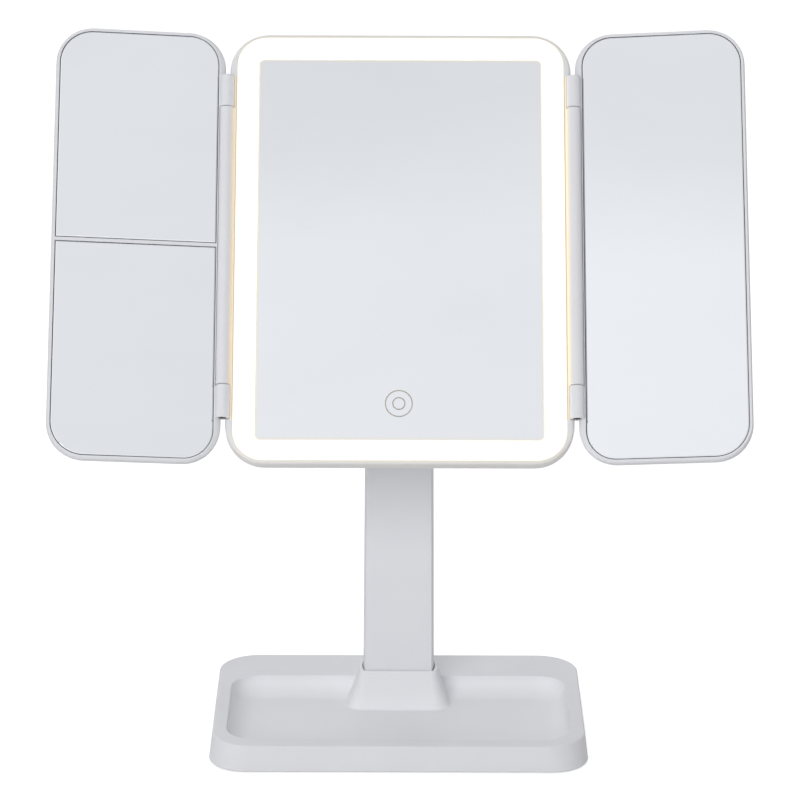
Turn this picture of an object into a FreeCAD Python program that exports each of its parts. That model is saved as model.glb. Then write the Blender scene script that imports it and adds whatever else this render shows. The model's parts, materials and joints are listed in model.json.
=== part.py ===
import FreeCAD, Part
import math
import os
import re
import Sketcher
from FreeCAD import Placement, Rotation, Vector

# A free-standing trifold vanity mirror in millimetres: +Z up, the mirrors face -Y, and the origin is
# on the table under the middle of the whole object at rest.
#
# The head and the wings are drawn upright in frames of their own. The head's frame has its origin in
# the middle of its front plane, and each wing's frame has its origin in the middle of its hinge axis.
# In both, X is across, Z is up the panel and -Y points out of the mirror.

doc = FreeCAD.newDocument("TrifoldVanityMirror")
sheet = doc.addObject("Spreadsheet::Sheet", "Sizes")

sizes = {
    # pose and pivots
    "tiltBack": 33.04,
    "wingForward": 7.5,
    "pivotY": 24.68,
    "pivotZ": 252.7,
    "pivotSetback": 30.4,
    "hingeSpread": 90.3,
    "hingeProud": 0.8,
    # base tray
    "baseY": 2.68,
    "baseWidth": 200,
    "baseDepth": 131,
    "baseCorner": 23,
    "baseDraft": 7,
    "baseBottom": 1.2,
    "baseTop": 15.1,
    "baseEdge": 1,
    "recessWidth": 182.8,
    "recessDepth": 85.7,
    "recessMiddle": -11.55,
    "recessCorner": 15,
    "recessFloor": 5,
    "recessFoot": 4.5,
    "trayWall": 2,
    # moulded socket that holds the stem
    "collarTop": 26,
    "collarWidth": 42.5,
    "collarDepth": 19.1,
    "collarBevel": 2,
    "collarFlare": 13.5,
    "collarSpread": 8,
    "socketWidth": 39.4,
    "socketDepth": 17,
    "socketBevel": 1.8,
    "socketBottom": 2.8,
    # under the tray
    "coverThickness": 1.6,
    "coverMargin": 4,
    "coverBevel": 11,
    "ballastWidth": 128,
    "ballastDepth": 22,
    "ballastThickness": 8,
    "ballastMiddle": 47.5,
    "footRadius": 5.5,
    "footSpreadX": 82,
    "footSpreadY": 50,
    "footSeat": 0.6,
    "baseScrewX": 71,
    "baseScrewBack": 47.5,
    "baseScrewFront": -57.8,
    "baseScrewLength": 8,
    "stemScrewX": 9,
    "stemScrewLength": 10,
    "screwHeadHeight": 0.8,
    # stem
    "stemDepth": 16,
    "stemBottomWidth": 38.7,
    "stemTopWidth": 34.9,
    "stemEdge": 2,
    "stemRound": 7.9,
    "stemWall": 2,
    "spineWidth": 20,
    "spineThickness": 4,
    "spineBarrel": 5.5,
    "spineFoot": 8,
    # tilt joint
    "axleRadius": 2.5,
    "axleHeadRadius": 4.2,
    "axleHeadLength": 2.4,
    "nutRadius": 4.6,
    "nutLength": 2.6,
    "runningGap": 0.05,
    "freeGap": 0.3,
    "earInner": 19.3,
    "earThickness": 2.5,
    "earRadius": 7.5,
    "bracketWidth": 62,
    "bracketHeight": 26,
    "bracketThickness": 2,
    "bracketBevel": 2.5,
    "bracketScrewX": 26.5,
    "bracketScrewZ": 8.5,
    "bracketScrewHead": 1.2,
    "washerThickness": 1.4,
    "washerRadius": 6.5,
    # head
    "headWidth": 178,
    "headHeight": 232.2,
    "headCorner": 20.5,
    "frameDepth": 8,
    "frameEdge": 1,
    "coverDepth": 5,
    "coverEdge": 2.8,
    "shellWall": 2,
    "bandWidth": 170.5,
    "bandHeight": 228.3,
    "bandCorner": 15.5,
    "bandDepth": 2.2,
    "ledge": 3,
    "openingBevel": 17,
    "glassWidth": 147.2,
    "glassHeight": 205.3,
    "glassCorner": 2.5,
    "glassRise": -0.8,
    "fitGap": 0.1,
    "plateauWidth": 76,
    "plateauHeight": 112,
    "plateauRise": 20,
    "plateauDepth": 6,
    "plateauCorner": 10,
    "plateauDraft": 14,
    "carrierLap": 3,
    "carrierDepth": 1.5,
    "carrierWall": 1.2,
    "carrierBevel": 12,
    "carrierPost": 3,
    "postX": 62,
    "postZ": 84,
    "boardDepth": 1,
    "ledPitch": 24.5,
    "ledWidth": 3.5,
    "ledDepth": 0.9,
    "headScrewX": 76.8,
    "headScrewZ": 104.6,
    "screwRadius": 1.2,
    "screwHead": 2.3,
    # touch control
    "touchRise": -84.35,
    "touchRadius": 8,
    "touchDepth": 0.5,
    "controlWidth": 62,
    "controlHeight": 24,
    "controlRise": -58,
    "controlThickness": 1.6,
    # batteries
    "cellRadius": 5.25,
    "cellLength": 44.5,
    "cellPitch": 11,
    "cellRise": 42.75,
    "cellSetback": 10.6,
    "nubRadius": 1.9,
    "nubLength": 1,
    "contactWidth": 7,
    "contactThickness": 0.5,
    "springRadius": 2.5,
    "holderWidth": 47,
    "holderHeight": 51.5,
    "holderWall": 1.2,
    "holderBack": 16.6,
    "doorWidth": 49.6,
    "doorHeight": 54,
    "doorCorner": 3,
    "doorThickness": 2,
    "grooveTop": 6,
    "groovePitch": 2.4,
    "grooveLength": 16,
    "grooveStep": 2,
    "grooveWidth": 1,
    "grooveDepth": 0.6,
    # hinges between head and wings
    "barrelRadius": 3.7,
    "barrelHalf": 74.9,
    "knuckleStart": 75.25,
    "knuckleEnd": 92.5,
    "reliefRadius": 4,
    "pinRadius": 1.2,
    "pinReach": 18,
    "bushRadius": 2.4,
    "bushLength": 20,
    # wings
    "wingGap": 1.3,
    "wingWidth": 87.8,
    "wingDepth": 8,
    "wingCorner": 19.5,
    "wingEdge": 2.4,
    "wingHingeMargin": 3.6,
    "wingOuterMargin": 2.1,
    "wingEndMargin": 2,
    "wingGlassCorner": 17.5,
    "wingGlassDepth": 2,
    "wingGlassGap": 0.2,
    "wingGlassBevel": 0.5,
    "tapeThickness": 0.3,
    "wingHollow": 3.7,
    "wingLedge": 4,
    "dividerWidth": 1.9,
    "ribWidth": 1.6,
}

for row, (alias, value) in enumerate(sizes.items(), start=1):
    sheet.set("A%d" % row, alias)
    sheet.set("B%d" % row, str(value))
    sheet.setAlias("B%d" % row, alias)
doc.recompute()


def size(alias):
    return float(sheet.get(alias))


def bind(item, prop, formula):
    """Drive a property by a formula over the sheet's aliases."""
    text = re.sub(r"\b([a-z][A-Za-z]*[A-Z][A-Za-z]*|ledge)\b", r"Sizes.\1", str(formula))
    item.setExpression(prop, text)


headFrame = Placement(Vector(0, size("pivotY"), size("pivotZ")), Rotation(Vector(1, 0, 0), -size("tiltBack")))
headFrame = headFrame * Placement(Vector(0, -size("pivotSetback"), 0), Rotation())
baseFrame = Placement(Vector(0, size("baseY"), 0), Rotation())
stemFrame = Placement(Vector(0, size("pivotY"), 0), Rotation())


def wingFrame(side):
    axis = Vector(side * size("hingeSpread"), -size("hingeProud"), 0)
    return headFrame * Placement(axis, Rotation(Vector(0, 0, 1), -side * size("wingForward")))


# ---- sketches and features ----------------------------------------------------------------------

def newBody(label, frame):
    body = doc.addObject("PartDesign::Body", label)
    body.Label = label
    body.Placement = frame
    return body


def newSketch(body, role, across="0", along="0", out="0"):
    """A sketch on one of the body's own planes, shifted in the plane and along its normal."""
    plane = [item for item in body.Origin.OriginFeatures if item.Role == role][0]
    sketch = body.newObject("Sketcher::SketchObject", "Sketch")
    sketch.AttachmentSupport = [(plane, "")]
    sketch.MapMode = "FlatFace"
    bind(sketch, ".AttachmentOffset.Base.x", across)
    bind(sketch, ".AttachmentOffset.Base.y", along)
    bind(sketch, ".AttachmentOffset.Base.z", out)
    return sketch


def addRule(sketch, formula, *rule):
    index = sketch.addConstraint(Sketcher.Constraint(*rule))
    sketch.renameConstraint(index, "rule%d" % index)
    bind(sketch, "Constraints.rule%d" % index, formula)


def drawRectangle(sketch, width, height, corner=None):
    """A rectangle centred on the sketch's origin, with round corners if a corner formula is given."""
    if corner is None:
        points = [Vector(-1, -1, 0), Vector(1, -1, 0), Vector(1, 1, 0), Vector(-1, 1, 0)]
        sides = [sketch.addGeometry(Part.LineSegment(points[i], points[(i + 1) % 4])) for i in range(4)]
        for i in range(4):
            sketch.addConstraint(Sketcher.Constraint("Coincident", sides[i], 2, sides[(i + 1) % 4], 1))
    else:
        sides = []
        arcs = []
        for turn in range(4):
            angle = math.radians(90 * turn)
            ahead = Vector(math.cos(angle), math.sin(angle), 0)
            outward = Vector(math.sin(angle), -math.cos(angle), 0)
            side = Part.LineSegment(outward * 3 - ahead * 2, outward * 3 + ahead * 2)
            sides.append(sketch.addGeometry(side))
            circle = Part.Circle((outward + ahead) * 2, Vector(0, 0, 1), 1)
            arcs.append(sketch.addGeometry(Part.ArcOfCircle(circle, angle - math.pi / 2, angle)))
        for turn in range(4):
            sketch.addConstraint(Sketcher.Constraint("Tangent", sides[turn], 2, arcs[turn], 1))
            sketch.addConstraint(Sketcher.Constraint("Tangent", arcs[turn], 2, sides[(turn + 1) % 4], 1))
        for turn in range(1, 4):
            sketch.addConstraint(Sketcher.Constraint("Equal", arcs[0], arcs[turn]))
        addRule(sketch, corner, "Radius", arcs[0], 1)
    for turn, kind in enumerate(("Horizontal", "Vertical", "Horizontal", "Vertical")):
        sketch.addConstraint(Sketcher.Constraint(kind, sides[turn]))
    addRule(sketch, "(%s) / 2" % width, "DistanceX", -1, 1, sides[1], 1, 3)
    addRule(sketch, "(%s) / 2" % width, "DistanceX", sides[3], 1, -1, 1, 3)
    addRule(sketch, "(%s) / 2" % height, "DistanceY", -1, 1, sides[2], 1, 3)
    addRule(sketch, "(%s) / 2" % height, "DistanceY", sides[0], 1, -1, 1, 3)


def drawCircles(sketch, radius, places=(("0", "0"),)):
    for across, along in places:
        circle = sketch.addGeometry(Part.Circle(Vector(1, 1, 0), Vector(0, 0, 1), 1))
        addRule(sketch, radius, "Radius", circle, 1)
        addRule(sketch, across, "DistanceX", -1, 1, circle, 3, 1)
        addRule(sketch, along, "DistanceY", -1, 1, circle, 3, 1)


def drawPolygons(sketch, radius, places=(("0", "0"),), flats=6):
    """Regular polygons with a corner to the right: the seats and holes of the small screws."""
    turns = [2 * math.pi * i / flats for i in range(flats)]
    for across, along in places:
        drawOutline(sketch, [("%s + (%s) * %.4f" % (across, radius, math.cos(turn)),
                              "%s + (%s) * %.4f" % (along, radius, math.sin(turn))) for turn in turns])


def drawBevelled(sketch, width, height, bevel):
    """A rectangle centred on the sketch's origin, with its corners cut off at 45 degrees."""
    across, along = "(%s) / 2" % width, "(%s) / 2" % height
    points = []
    for right, up in ((1, -1), (1, 1), (-1, 1), (-1, -1)):
        side = ("%d * (%s)" % (right, across), "%d * (%s - (%s))" % (up, along, bevel))
        end = ("%d * (%s - (%s))" % (right, across, bevel), "%d * (%s)" % (up, along))
        points += [side, end] if right == up else [end, side]
    drawOutline(sketch, points)


def drawOutline(sketch, points):
    """A closed outline of straight sides through points given as pairs of formulas."""
    count = len(points)
    around = [Vector(math.cos(2 * math.pi * i / count), math.sin(2 * math.pi * i / count), 0)
              for i in range(count)]
    sides = [sketch.addGeometry(Part.LineSegment(around[i], around[(i + 1) % count]))
             for i in range(count)]
    for i in range(count):
        sketch.addConstraint(Sketcher.Constraint("Coincident", sides[i], 2, sides[(i + 1) % count], 1))
        addRule(sketch, points[i][0], "DistanceX", -1, 1, sides[i], 1, 1)
        addRule(sketch, points[i][1], "DistanceY", -1, 1, sides[i], 1, 1)


def extrude(body, sketch, length, kind="Pad", backward=False, both=False, taper=None):
    """A pad or a pocket of the sketch. A pocket must take material away."""
    before = body.Shape.Volume if kind == "Pocket" else 0
    feature = body.newObject("PartDesign::" + kind, kind)
    feature.Profile = sketch
    feature.Type = "Length"
    bind(feature, "Length", length)
    feature.Reversed = backward
    feature.Midplane = both
    if taper is not None:
        bind(feature, "TaperAngle", taper)
    doc.recompute()
    if kind == "Pocket" and body.Shape.Volume > before - 0.01:
        raise RuntimeError("a pocket in %s removed nothing" % body.Label)
    return feature


def pad(body, sketch, length, **options):
    return extrude(body, sketch, length, "Pad", **options)


def pocket(body, sketch, length, **options):
    return extrude(body, sketch, length, "Pocket", **options)


def edgeNames(shape, wanted):
    return ["Edge%d" % (i + 1) for i, edge in enumerate(shape.Edges) if wanted(edge)]


def soften(body, radius, wanted, kind="Fillet"):
    """Round or bevel the edges of the body's last feature that the test accepts."""
    tip = body.Tip
    names = edgeNames(tip.Shape, wanted)
    if not names:
        raise RuntimeError("no edge to soften in %s" % body.Label)
    feature = body.newObject("PartDesign::" + kind, kind)
    feature.Base = (tip, names)
    bind(feature, "Radius" if kind == "Fillet" else "Size", radius)
    doc.recompute()
    return feature


def inPlane(axis, place, slack=0.01):
    """A test for edges that lie wholly in the plane where one coordinate has the given value."""
    def test(edge):
        box = edge.BoundBox
        low, high = {"x": (box.XMin, box.XMax), "y": (box.YMin, box.YMax), "z": (box.ZMin, box.ZMax)}[axis]
        return abs(low - place) < slack and abs(high - place) < slack
    return test


def primitive(kind, label, frame, spot, turn=None, **formulas):
    """A Part box, cylinder or cone whose sizes are formulas, placed in the frame at the spot."""
    item = doc.addObject("Part::" + kind, label)
    item.Label = label
    item.Placement = frame * Placement(Vector(*spot), turn or Rotation())
    for prop, formula in formulas.items():
        bind(item, prop, formula)
    return item


def combine(kind, label, *items):
    """Part::MultiFuse, Part::Cut or Part::Compound of other objects."""
    item = doc.addObject("Part::" + kind, label)
    item.Label = label
    if kind == "Cut":
        item.Base = items[0]
        item.Tool = items[1]
    elif kind == "Compound":
        item.Links = list(items)
    else:
        item.Shapes = list(items)
    return item


alongX = Rotation(Vector(0, 1, 0), 90)
alongY = Rotation(Vector(1, 0, 0), -90)
towardFront = Rotation(Vector(1, 0, 0), 90)
upright = Rotation()


def stepped(label, frame, spot, turn, stages, flats):
    """Coaxial prisms stacked end to end, as one solid."""
    at = 0
    pieces = []
    for radius, length in stages:
        place = Vector(*spot) + turn.multVec(Vector(0, 0, at))
        piece = primitive("Prism", label + "_stage", frame, place, turn, Circumradius=radius, Height=length)
        piece.Polygon = flats
        pieces.append(piece)
        at += float(sheet.get(length)) if length in sizes else float(length)
    return combine("MultiFuse", label, *pieces)


def screws(label, frame, spots, turn, headHeight, length):
    """Identical screws as one group, each head first and its shank along the turned Z axis."""
    stages = (("screwHead", headHeight), ("screwRadius", length))
    group = [stepped(label + "_screw", frame, spot, turn, stages, flats=6) for spot in spots]
    return combine("Compound", label, *group)


# ---- base ---------------------------------------------------------------------------------------

baseScrewSpots = [("%d * baseScrewX" % side, row) for side in (-1, 1)
                  for row in ("baseScrewBack", "baseScrewFront")]
stemScrewSpots = [("%d * stemScrewX" % side, "pivotY - baseY") for side in (-1, 1)]
footSpots = [("%d * footSpreadX" % i, "%d * footSpreadY" % j) for i in (-1, 1) for j in (-1, 1)]


def makeBaseTray():
    """One moulding: drafted tray, recess with soft foot, and the flared socket for the stem."""
    body = newBody("base_tray", baseFrame)
    outline = newSketch(body, "XY_Plane", out="baseBottom")
    drawRectangle(outline, "baseWidth", "baseDepth", "baseCorner")
    pad(body, outline, "baseTop - baseBottom", taper="-baseDraft")
    soften(body, "baseEdge", inPlane("z", size("baseTop")), "Chamfer")
    recess = newSketch(body, "XY_Plane", along="recessMiddle", out="baseTop")
    drawRectangle(recess, "recessWidth", "recessDepth", "recessCorner")
    pocket(body, recess, "baseTop - recessFloor")
    soften(body, "recessFoot", inPlane("z", size("recessFloor")), "Chamfer")

    sections = []
    for climb in (0, 0.45, 1):
        flare = (1 - climb) ** 1.3
        level = "recessFloor - 0.5 + (collarTop - recessFloor + 0.5) * %.4f" % climb
        section = newSketch(body, "XY_Plane", along="pivotY - baseY", out=level)
        drawBevelled(section, "collarWidth + collarFlare * %.4f" % flare,
                     "collarDepth + collarSpread * %.4f" % flare,
                     "collarBevel + collarSpread / 4 * %.4f" % flare)
        sections.append(section)
    doc.recompute()
    collar = body.newObject("PartDesign::AdditiveLoft", "Collar")
    collar.Profile = sections[0]
    collar.Sections = sections[1:]
    collar.Ruled = True
    doc.recompute()

    socket = newSketch(body, "XY_Plane", along="pivotY - baseY", out="collarTop")
    drawBevelled(socket, "socketWidth", "socketDepth", "socketBevel")
    pocket(body, socket, "collarTop - socketBottom")

    under = newSketch(body, "XY_Plane", out="baseBottom")
    drawBevelled(under, "baseWidth - 2 * coverMargin", "baseDepth - 2 * coverMargin", "coverBevel")
    pocket(body, under, "coverThickness", backward=True)
    hollow = newSketch(body, "XY_Plane", along="ballastMiddle", out="baseBottom")
    drawRectangle(hollow, "ballastWidth + 1", "ballastDepth + 1")
    pocket(body, hollow, "baseTop - baseBottom - trayWall", backward=True)
    holes = newSketch(body, "XY_Plane", out="baseBottom")
    drawPolygons(holes, "screwRadius", baseScrewSpots)
    pocket(body, holes, "baseScrewLength", backward=True)


def makeBottomCover():
    body = newBody("base_bottom_cover", baseFrame)
    outline = newSketch(body, "XY_Plane", out="baseBottom")
    drawBevelled(outline, "baseWidth - 2 * coverMargin - 2 * fitGap",
                 "baseDepth - 2 * coverMargin - 2 * fitGap", "coverBevel")
    pad(body, outline, "coverThickness")
    seats = newSketch(body, "XY_Plane", out="baseBottom")
    drawPolygons(seats, "footRadius", footSpots, flats=12)
    pocket(body, seats, "footSeat", backward=True)
    holes = newSketch(body, "XY_Plane", out="baseBottom")
    drawPolygons(holes, "screwRadius", baseScrewSpots + stemScrewSpots)
    pocket(body, holes, "coverThickness", backward=True)
    heads = newSketch(body, "XY_Plane", out="baseBottom")
    drawPolygons(heads, "screwHead", baseScrewSpots + stemScrewSpots)
    pocket(body, heads, "screwHeadHeight", backward=True)


def makeFeet():
    body = newBody("base_feet", baseFrame)
    discs = newSketch(body, "XY_Plane")
    drawPolygons(discs, "footRadius", footSpots, flats=12)
    pad(body, discs, "baseBottom + footSeat")


def makeBallast():
    body = newBody("ballast_plate", baseFrame)
    bar = newSketch(body, "XY_Plane", along="ballastMiddle", out="baseBottom + coverThickness")
    drawRectangle(bar, "ballastWidth", "ballastDepth")
    pad(body, bar, "ballastThickness")


# ---- stem ---------------------------------------------------------------------------------------

shellScrewHeights = ("pivotZ * 0.25", "pivotZ * 0.55", "pivotZ * 0.85")


def stemOutline(body, inset, **offset):
    """The stem's front view: sides that close in slightly towards the top."""
    sketch = newSketch(body, "XZ_Plane", **offset)
    top = "pivotZ + stemDepth / 2 - %s" % inset
    corners = [("-1", "stemBottomWidth", "socketBottom"), ("1", "stemBottomWidth", "socketBottom"),
               ("1", "stemTopWidth", top), ("-1", "stemTopWidth", top)]
    drawOutline(sketch, [("%s * (%s / 2 - %s)" % (side, width, inset), rise)
                         for side, width, rise in corners])
    return sketch


def makeStemShell(label, rear):
    """Half of the stem, open towards the seam. The top is rounded about the tilt axis."""
    body = newBody(label, stemFrame)
    pad(body, stemOutline(body, "0"), "stemDepth / 2", backward=rear)
    face = size("stemDepth") / 2 * (1 if rear else -1)
    top = size("pivotZ") + size("stemDepth") / 2
    soften(body, "stemRound", lambda edge: inPlane("y", face)(edge) and inPlane("z", top)(edge))
    soften(body, "stemEdge", lambda edge: inPlane("y", face)(edge) and edge.BoundBox.ZLength > 200,
           "Chamfer")
    pocket(body, stemOutline(body, "stemWall"), "stemDepth / 2 - stemWall", backward=not rear)
    across = newSketch(body, "YZ_Plane", along="pivotZ")
    drawPolygons(across, "axleRadius + freeGap", flats=12)
    pocket(body, across, "stemBottomWidth", both=True)
    posts = newSketch(body, "XZ_Plane")
    drawPolygons(posts, "carrierPost", [("0", rise) for rise in shellScrewHeights])
    pad(body, posts, "stemDepth / 2 - stemWall / 2", backward=rear)
    holes = newSketch(body, "XZ_Plane")
    drawPolygons(holes, "screwRadius", [("0", rise) for rise in shellScrewHeights])
    pocket(body, holes, "stemDepth / 2" if rear else "stemDepth / 2 - stemWall", backward=not rear)
    if rear:
        heads = newSketch(body, "XZ_Plane", out="-stemDepth / 2")
        drawPolygons(heads, "screwHead", [("0", rise) for rise in shellScrewHeights])
        pocket(body, heads, "screwHeadHeight", backward=True)


def makeSpine():
    """Steel strip that carries the head: a knuckle for the axle on top, a screwed foot below."""
    body = newBody("stem_spine", stemFrame)
    strip = newSketch(body, "XZ_Plane", along="(pivotZ + socketBottom) / 2")
    drawRectangle(strip, "spineWidth", "pivotZ - socketBottom")
    pad(body, strip, "spineThickness", both=True)
    foot = newSketch(body, "XY_Plane", out="socketBottom")
    drawRectangle(foot, "1.5 * spineWidth", "stemDepth - 2 * stemWall")
    pad(body, foot, "spineFoot")
    knuckle = newSketch(body, "YZ_Plane", along="pivotZ")
    drawCircles(knuckle, "spineBarrel")
    pad(body, knuckle, "stemTopWidth - 2 * stemWall - 1", both=True)
    bore = newSketch(body, "YZ_Plane", along="pivotZ")
    drawCircles(bore, "axleRadius + runningGap")
    pocket(body, bore, "stemTopWidth", both=True)
    windows = newSketch(body, "XZ_Plane")
    drawPolygons(windows, "carrierPost + 1", [("0", rise) for rise in shellScrewHeights])
    pocket(body, windows, "2 * spineThickness", both=True)
    taps = newSketch(body, "XY_Plane", out="socketBottom")
    drawPolygons(taps, "screwRadius", [("%d * stemScrewX" % side, "0") for side in (-1, 1)])
    pocket(body, taps, "stemScrewLength - coverThickness + screwHeadHeight", backward=True)


# ---- head ---------------------------------------------------------------------------------------

cornerScrews = [("%d * headScrewX" % i, "%d * headScrewZ" % j) for i in (-1, 1) for j in (-1, 1)]
postScrews = [("%d * postX" % i, "%d * postZ" % j) for i in (-1, 1) for j in (-1, 1)]
bracketScrews = [("%d * bracketScrewX" % i, "%d * bracketScrewZ" % j) for i in (-1, 1) for j in (-1, 1)]
hingeAxes = [("%d * hingeSpread" % side, "-hingeProud") for side in (-1, 1)]
headBack = "(frameDepth + coverDepth)"
plateauBack = "(frameDepth + coverDepth + plateauDepth)"


def makeFrontFrame():
    """Bezel with a ledge for the light panel and, on each side, the long middle hinge barrel."""
    body = newBody("head_front_frame", headFrame)
    outline = newSketch(body, "XZ_Plane", out="-frameDepth")
    drawRectangle(outline, "headWidth", "headHeight", "headCorner")
    pad(body, outline, "frameDepth")
    soften(body, "frameEdge", inPlane("y", 0), "Chamfer")
    for end in (-1, 1):
        relief = newSketch(body, "XY_Plane", out="%d * barrelHalf" % end)
        drawCircles(relief, "reliefRadius", hingeAxes)
        pocket(body, relief, "knuckleEnd + knuckleStart - 2 * barrelHalf", backward=end > 0)
    barrels = newSketch(body, "XY_Plane")
    drawCircles(barrels, "barrelRadius", hingeAxes)
    pad(body, barrels, "2 * barrelHalf", both=True)
    seat = newSketch(body, "XZ_Plane")
    drawRectangle(seat, "bandWidth + 2 * fitGap", "bandHeight + 2 * fitGap", "bandCorner + fitGap")
    pocket(body, seat, "bandDepth")
    opening = newSketch(body, "XZ_Plane")
    drawBevelled(opening, "bandWidth - 2 * ledge", "bandHeight - 2 * ledge", "openingBevel")
    pocket(body, opening, "frameDepth")
    for end in (-1, 1):
        bores = newSketch(body, "XY_Plane", out="%d * barrelHalf" % end)
        drawPolygons(bores, "bushRadius", hingeAxes)
        pocket(body, bores, "bushLength", backward=end < 0)
    taps = newSketch(body, "XZ_Plane", out="-frameDepth")
    drawPolygons(taps, "screwRadius", cornerScrews)
    pocket(body, taps, "frameDepth - bandDepth - 1", backward=True)


def makeLightPanel():
    """Opal panel round the mirror: the lit band seen from the front."""
    body = newBody("light_diffuser", headFrame)
    outline = newSketch(body, "XZ_Plane", out="-bandDepth")
    drawRectangle(outline, "bandWidth", "bandHeight", "bandCorner")
    pad(body, outline, "bandDepth")
    window = newSketch(body, "XZ_Plane", along="glassRise")
    drawRectangle(window, "glassWidth + 2 * fitGap", "glassHeight + 2 * fitGap", "glassCorner")
    pocket(body, window, "bandDepth")


def makeCentreMirror():
    body = newBody("centre_mirror_glass", headFrame)
    outline = newSketch(body, "XZ_Plane", along="glassRise", out="-bandDepth")
    drawRectangle(outline, "glassWidth", "glassHeight", "glassCorner")
    pad(body, outline, "bandDepth")


def makeMirrorCarrier():
    """White tray behind the glass: its skirt walls the light channel off from the electronics."""
    body = newBody("mirror_carrier", headFrame)
    outline = newSketch(body, "XZ_Plane", along="glassRise", out="-frameDepth")
    drawBevelled(outline, "glassWidth + 2 * carrierLap", "glassHeight + 2 * carrierLap", "carrierBevel")
    pad(body, outline, "frameDepth - bandDepth")
    inside = newSketch(body, "XZ_Plane", along="glassRise", out="-(bandDepth + carrierDepth)")
    drawBevelled(inside, "glassWidth + 2 * carrierLap - 2 * carrierWall",
                 "glassHeight + 2 * carrierLap - 2 * carrierWall", "carrierBevel - carrierWall / 2")
    pocket(body, inside, "frameDepth")
    posts = newSketch(body, "XZ_Plane", out="-(bandDepth + carrierDepth / 2)")
    drawPolygons(posts, "carrierPost", postScrews)
    pad(body, posts, headBack + " - shellWall - bandDepth - carrierDepth / 2", backward=True)
    taps = newSketch(body, "XZ_Plane", out="-(bandDepth + carrierDepth)")
    drawPolygons(taps, "screwRadius", postScrews)
    pocket(body, taps, headBack)
    sensor = newSketch(body, "XZ_Plane", along="touchRise")
    drawPolygons(sensor, "touchRadius + fitGap", flats=12)
    pocket(body, sensor, "frameDepth")


def ledSides():
    """Middle, width and height of the four board strips in the channel between skirt and ledge."""
    skirtX = "(glassWidth / 2 + carrierLap + fitGap)"
    wallX = "(bandWidth / 2 - ledge - fitGap)"
    wallZ = "(bandHeight / 2 - ledge - fitGap)"
    sides = [("%d * (%s + %s) / 2" % (side, skirtX, wallX), "0", "%s - %s" % (wallX, skirtX), "7 * ledPitch")
             for side in (-1, 1)]
    for side in (-1, 1):
        skirtZ = "(glassHeight / 2 + carrierLap + fitGap + %d * glassRise)" % side
        sides.append(("0", "%d * (%s + %s) / 2" % (side, skirtZ, wallZ),
                      "5 * ledPitch", "%s - %s" % (wallZ, skirtZ)))
    return sides


def makeLedBoard():
    body = newBody("led_board", headFrame)
    for across, along, width, height in ledSides():
        strip = newSketch(body, "XZ_Plane", across=across, along=along, out="-frameDepth")
        drawRectangle(strip, width, height)
        pad(body, strip, "boardDepth")


def makeLedChips():
    """Light sources spaced evenly along the four strips."""
    body = newBody("led_chips", headFrame)
    columns, rows = ledSides()[:2], ledSides()[2:]
    spots = [(column[0], "%d * ledPitch" % i) for column in columns for i in range(-3, 4)]
    spots += [("%d * ledPitch" % i, row[1]) for row in rows for i in range(-2, 3)]
    for across, along in spots:
        chip = newSketch(body, "XZ_Plane", across=across, along=along, out="boardDepth - frameDepth")
        drawRectangle(chip, "ledWidth", "ledWidth")
        pad(body, chip, "ledDepth")


def makeRearCover():
    """Back shell with a raised plateau for the batteries and the tilt bracket."""
    body = newBody("head_rear_cover", headFrame)
    outline = newSketch(body, "XZ_Plane", out="-frameDepth")
    drawRectangle(outline, "headWidth", "headHeight", "headCorner")
    pad(body, outline, "coverDepth", backward=True)
    soften(body, "coverEdge", inPlane("y", size("frameDepth") + size("coverDepth")), "Chamfer")
    plateau = newSketch(body, "XZ_Plane", along="plateauRise", out="-" + headBack)
    drawRectangle(plateau, "plateauWidth", "plateauHeight", "plateauCorner")
    pad(body, plateau, "plateauDepth", backward=True, taper="-plateauDraft")
    hollow = newSketch(body, "XZ_Plane", along="glassRise", out="-frameDepth")
    drawRectangle(hollow, "glassWidth", "glassHeight")
    pocket(body, hollow, "coverDepth - shellWall")
    bay = newSketch(body, "XZ_Plane", along="plateauRise", out="-frameDepth")
    drawRectangle(bay, "plateauWidth - 4 * shellWall", "plateauHeight - 4 * shellWall")
    pocket(body, bay, "coverDepth + plateauDepth - shellWall")
    doorway = newSketch(body, "XZ_Plane", along="cellRise", out="-" + plateauBack)
    drawRectangle(doorway, "doorWidth + 2 * freeGap", "doorHeight + 2 * freeGap")
    pocket(body, doorway, "shellWall", backward=True)
    holes = newSketch(body, "XZ_Plane", out="-frameDepth")
    drawPolygons(holes, "screwRadius", cornerScrews + postScrews + bracketScrews)
    pocket(body, holes, "coverDepth + plateauDepth")
    heads = newSketch(body, "XZ_Plane", out="-" + headBack)
    drawPolygons(heads, "screwHead", cornerScrews + postScrews)
    pocket(body, heads, "screwHeadHeight", backward=True)


def makeTouchSensor():
    body = newBody("touch_sensor_pad", headFrame)
    disc = newSketch(body, "XZ_Plane", along="touchRise", out="-(bandDepth + touchDepth)")
    drawPolygons(disc, "touchRadius", flats=12)
    pad(body, disc, "touchDepth")


def makeControlBoard():
    """Circuit board behind the carrier with a driver chip, a coil and two wire sockets."""
    body = newBody("control_board", headFrame)
    face = "-(bandDepth + carrierDepth + controlThickness)"
    board = newSketch(body, "XZ_Plane", along="controlRise", out=face)
    drawRectangle(board, "controlWidth", "controlHeight")
    pad(body, board, "controlThickness")
    chip, coil, plugs = ("-16", "9", "9", "1.4"), ("2", "7", "7", "2.5"), ("6", "4.5", "2.8")
    for across, width, height, depth in (chip, coil, ("16", *plugs), ("25", *plugs)):
        block = newSketch(body, "XZ_Plane", across=across, along="controlRise", out=face)
        drawRectangle(block, width, height)
        pad(body, block, depth, backward=True)


# ---- batteries ----------------------------------------------------------------------------------

cellPlaces = ["%.1f * cellPitch" % (i - 1.5) for i in range(4)]


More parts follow.
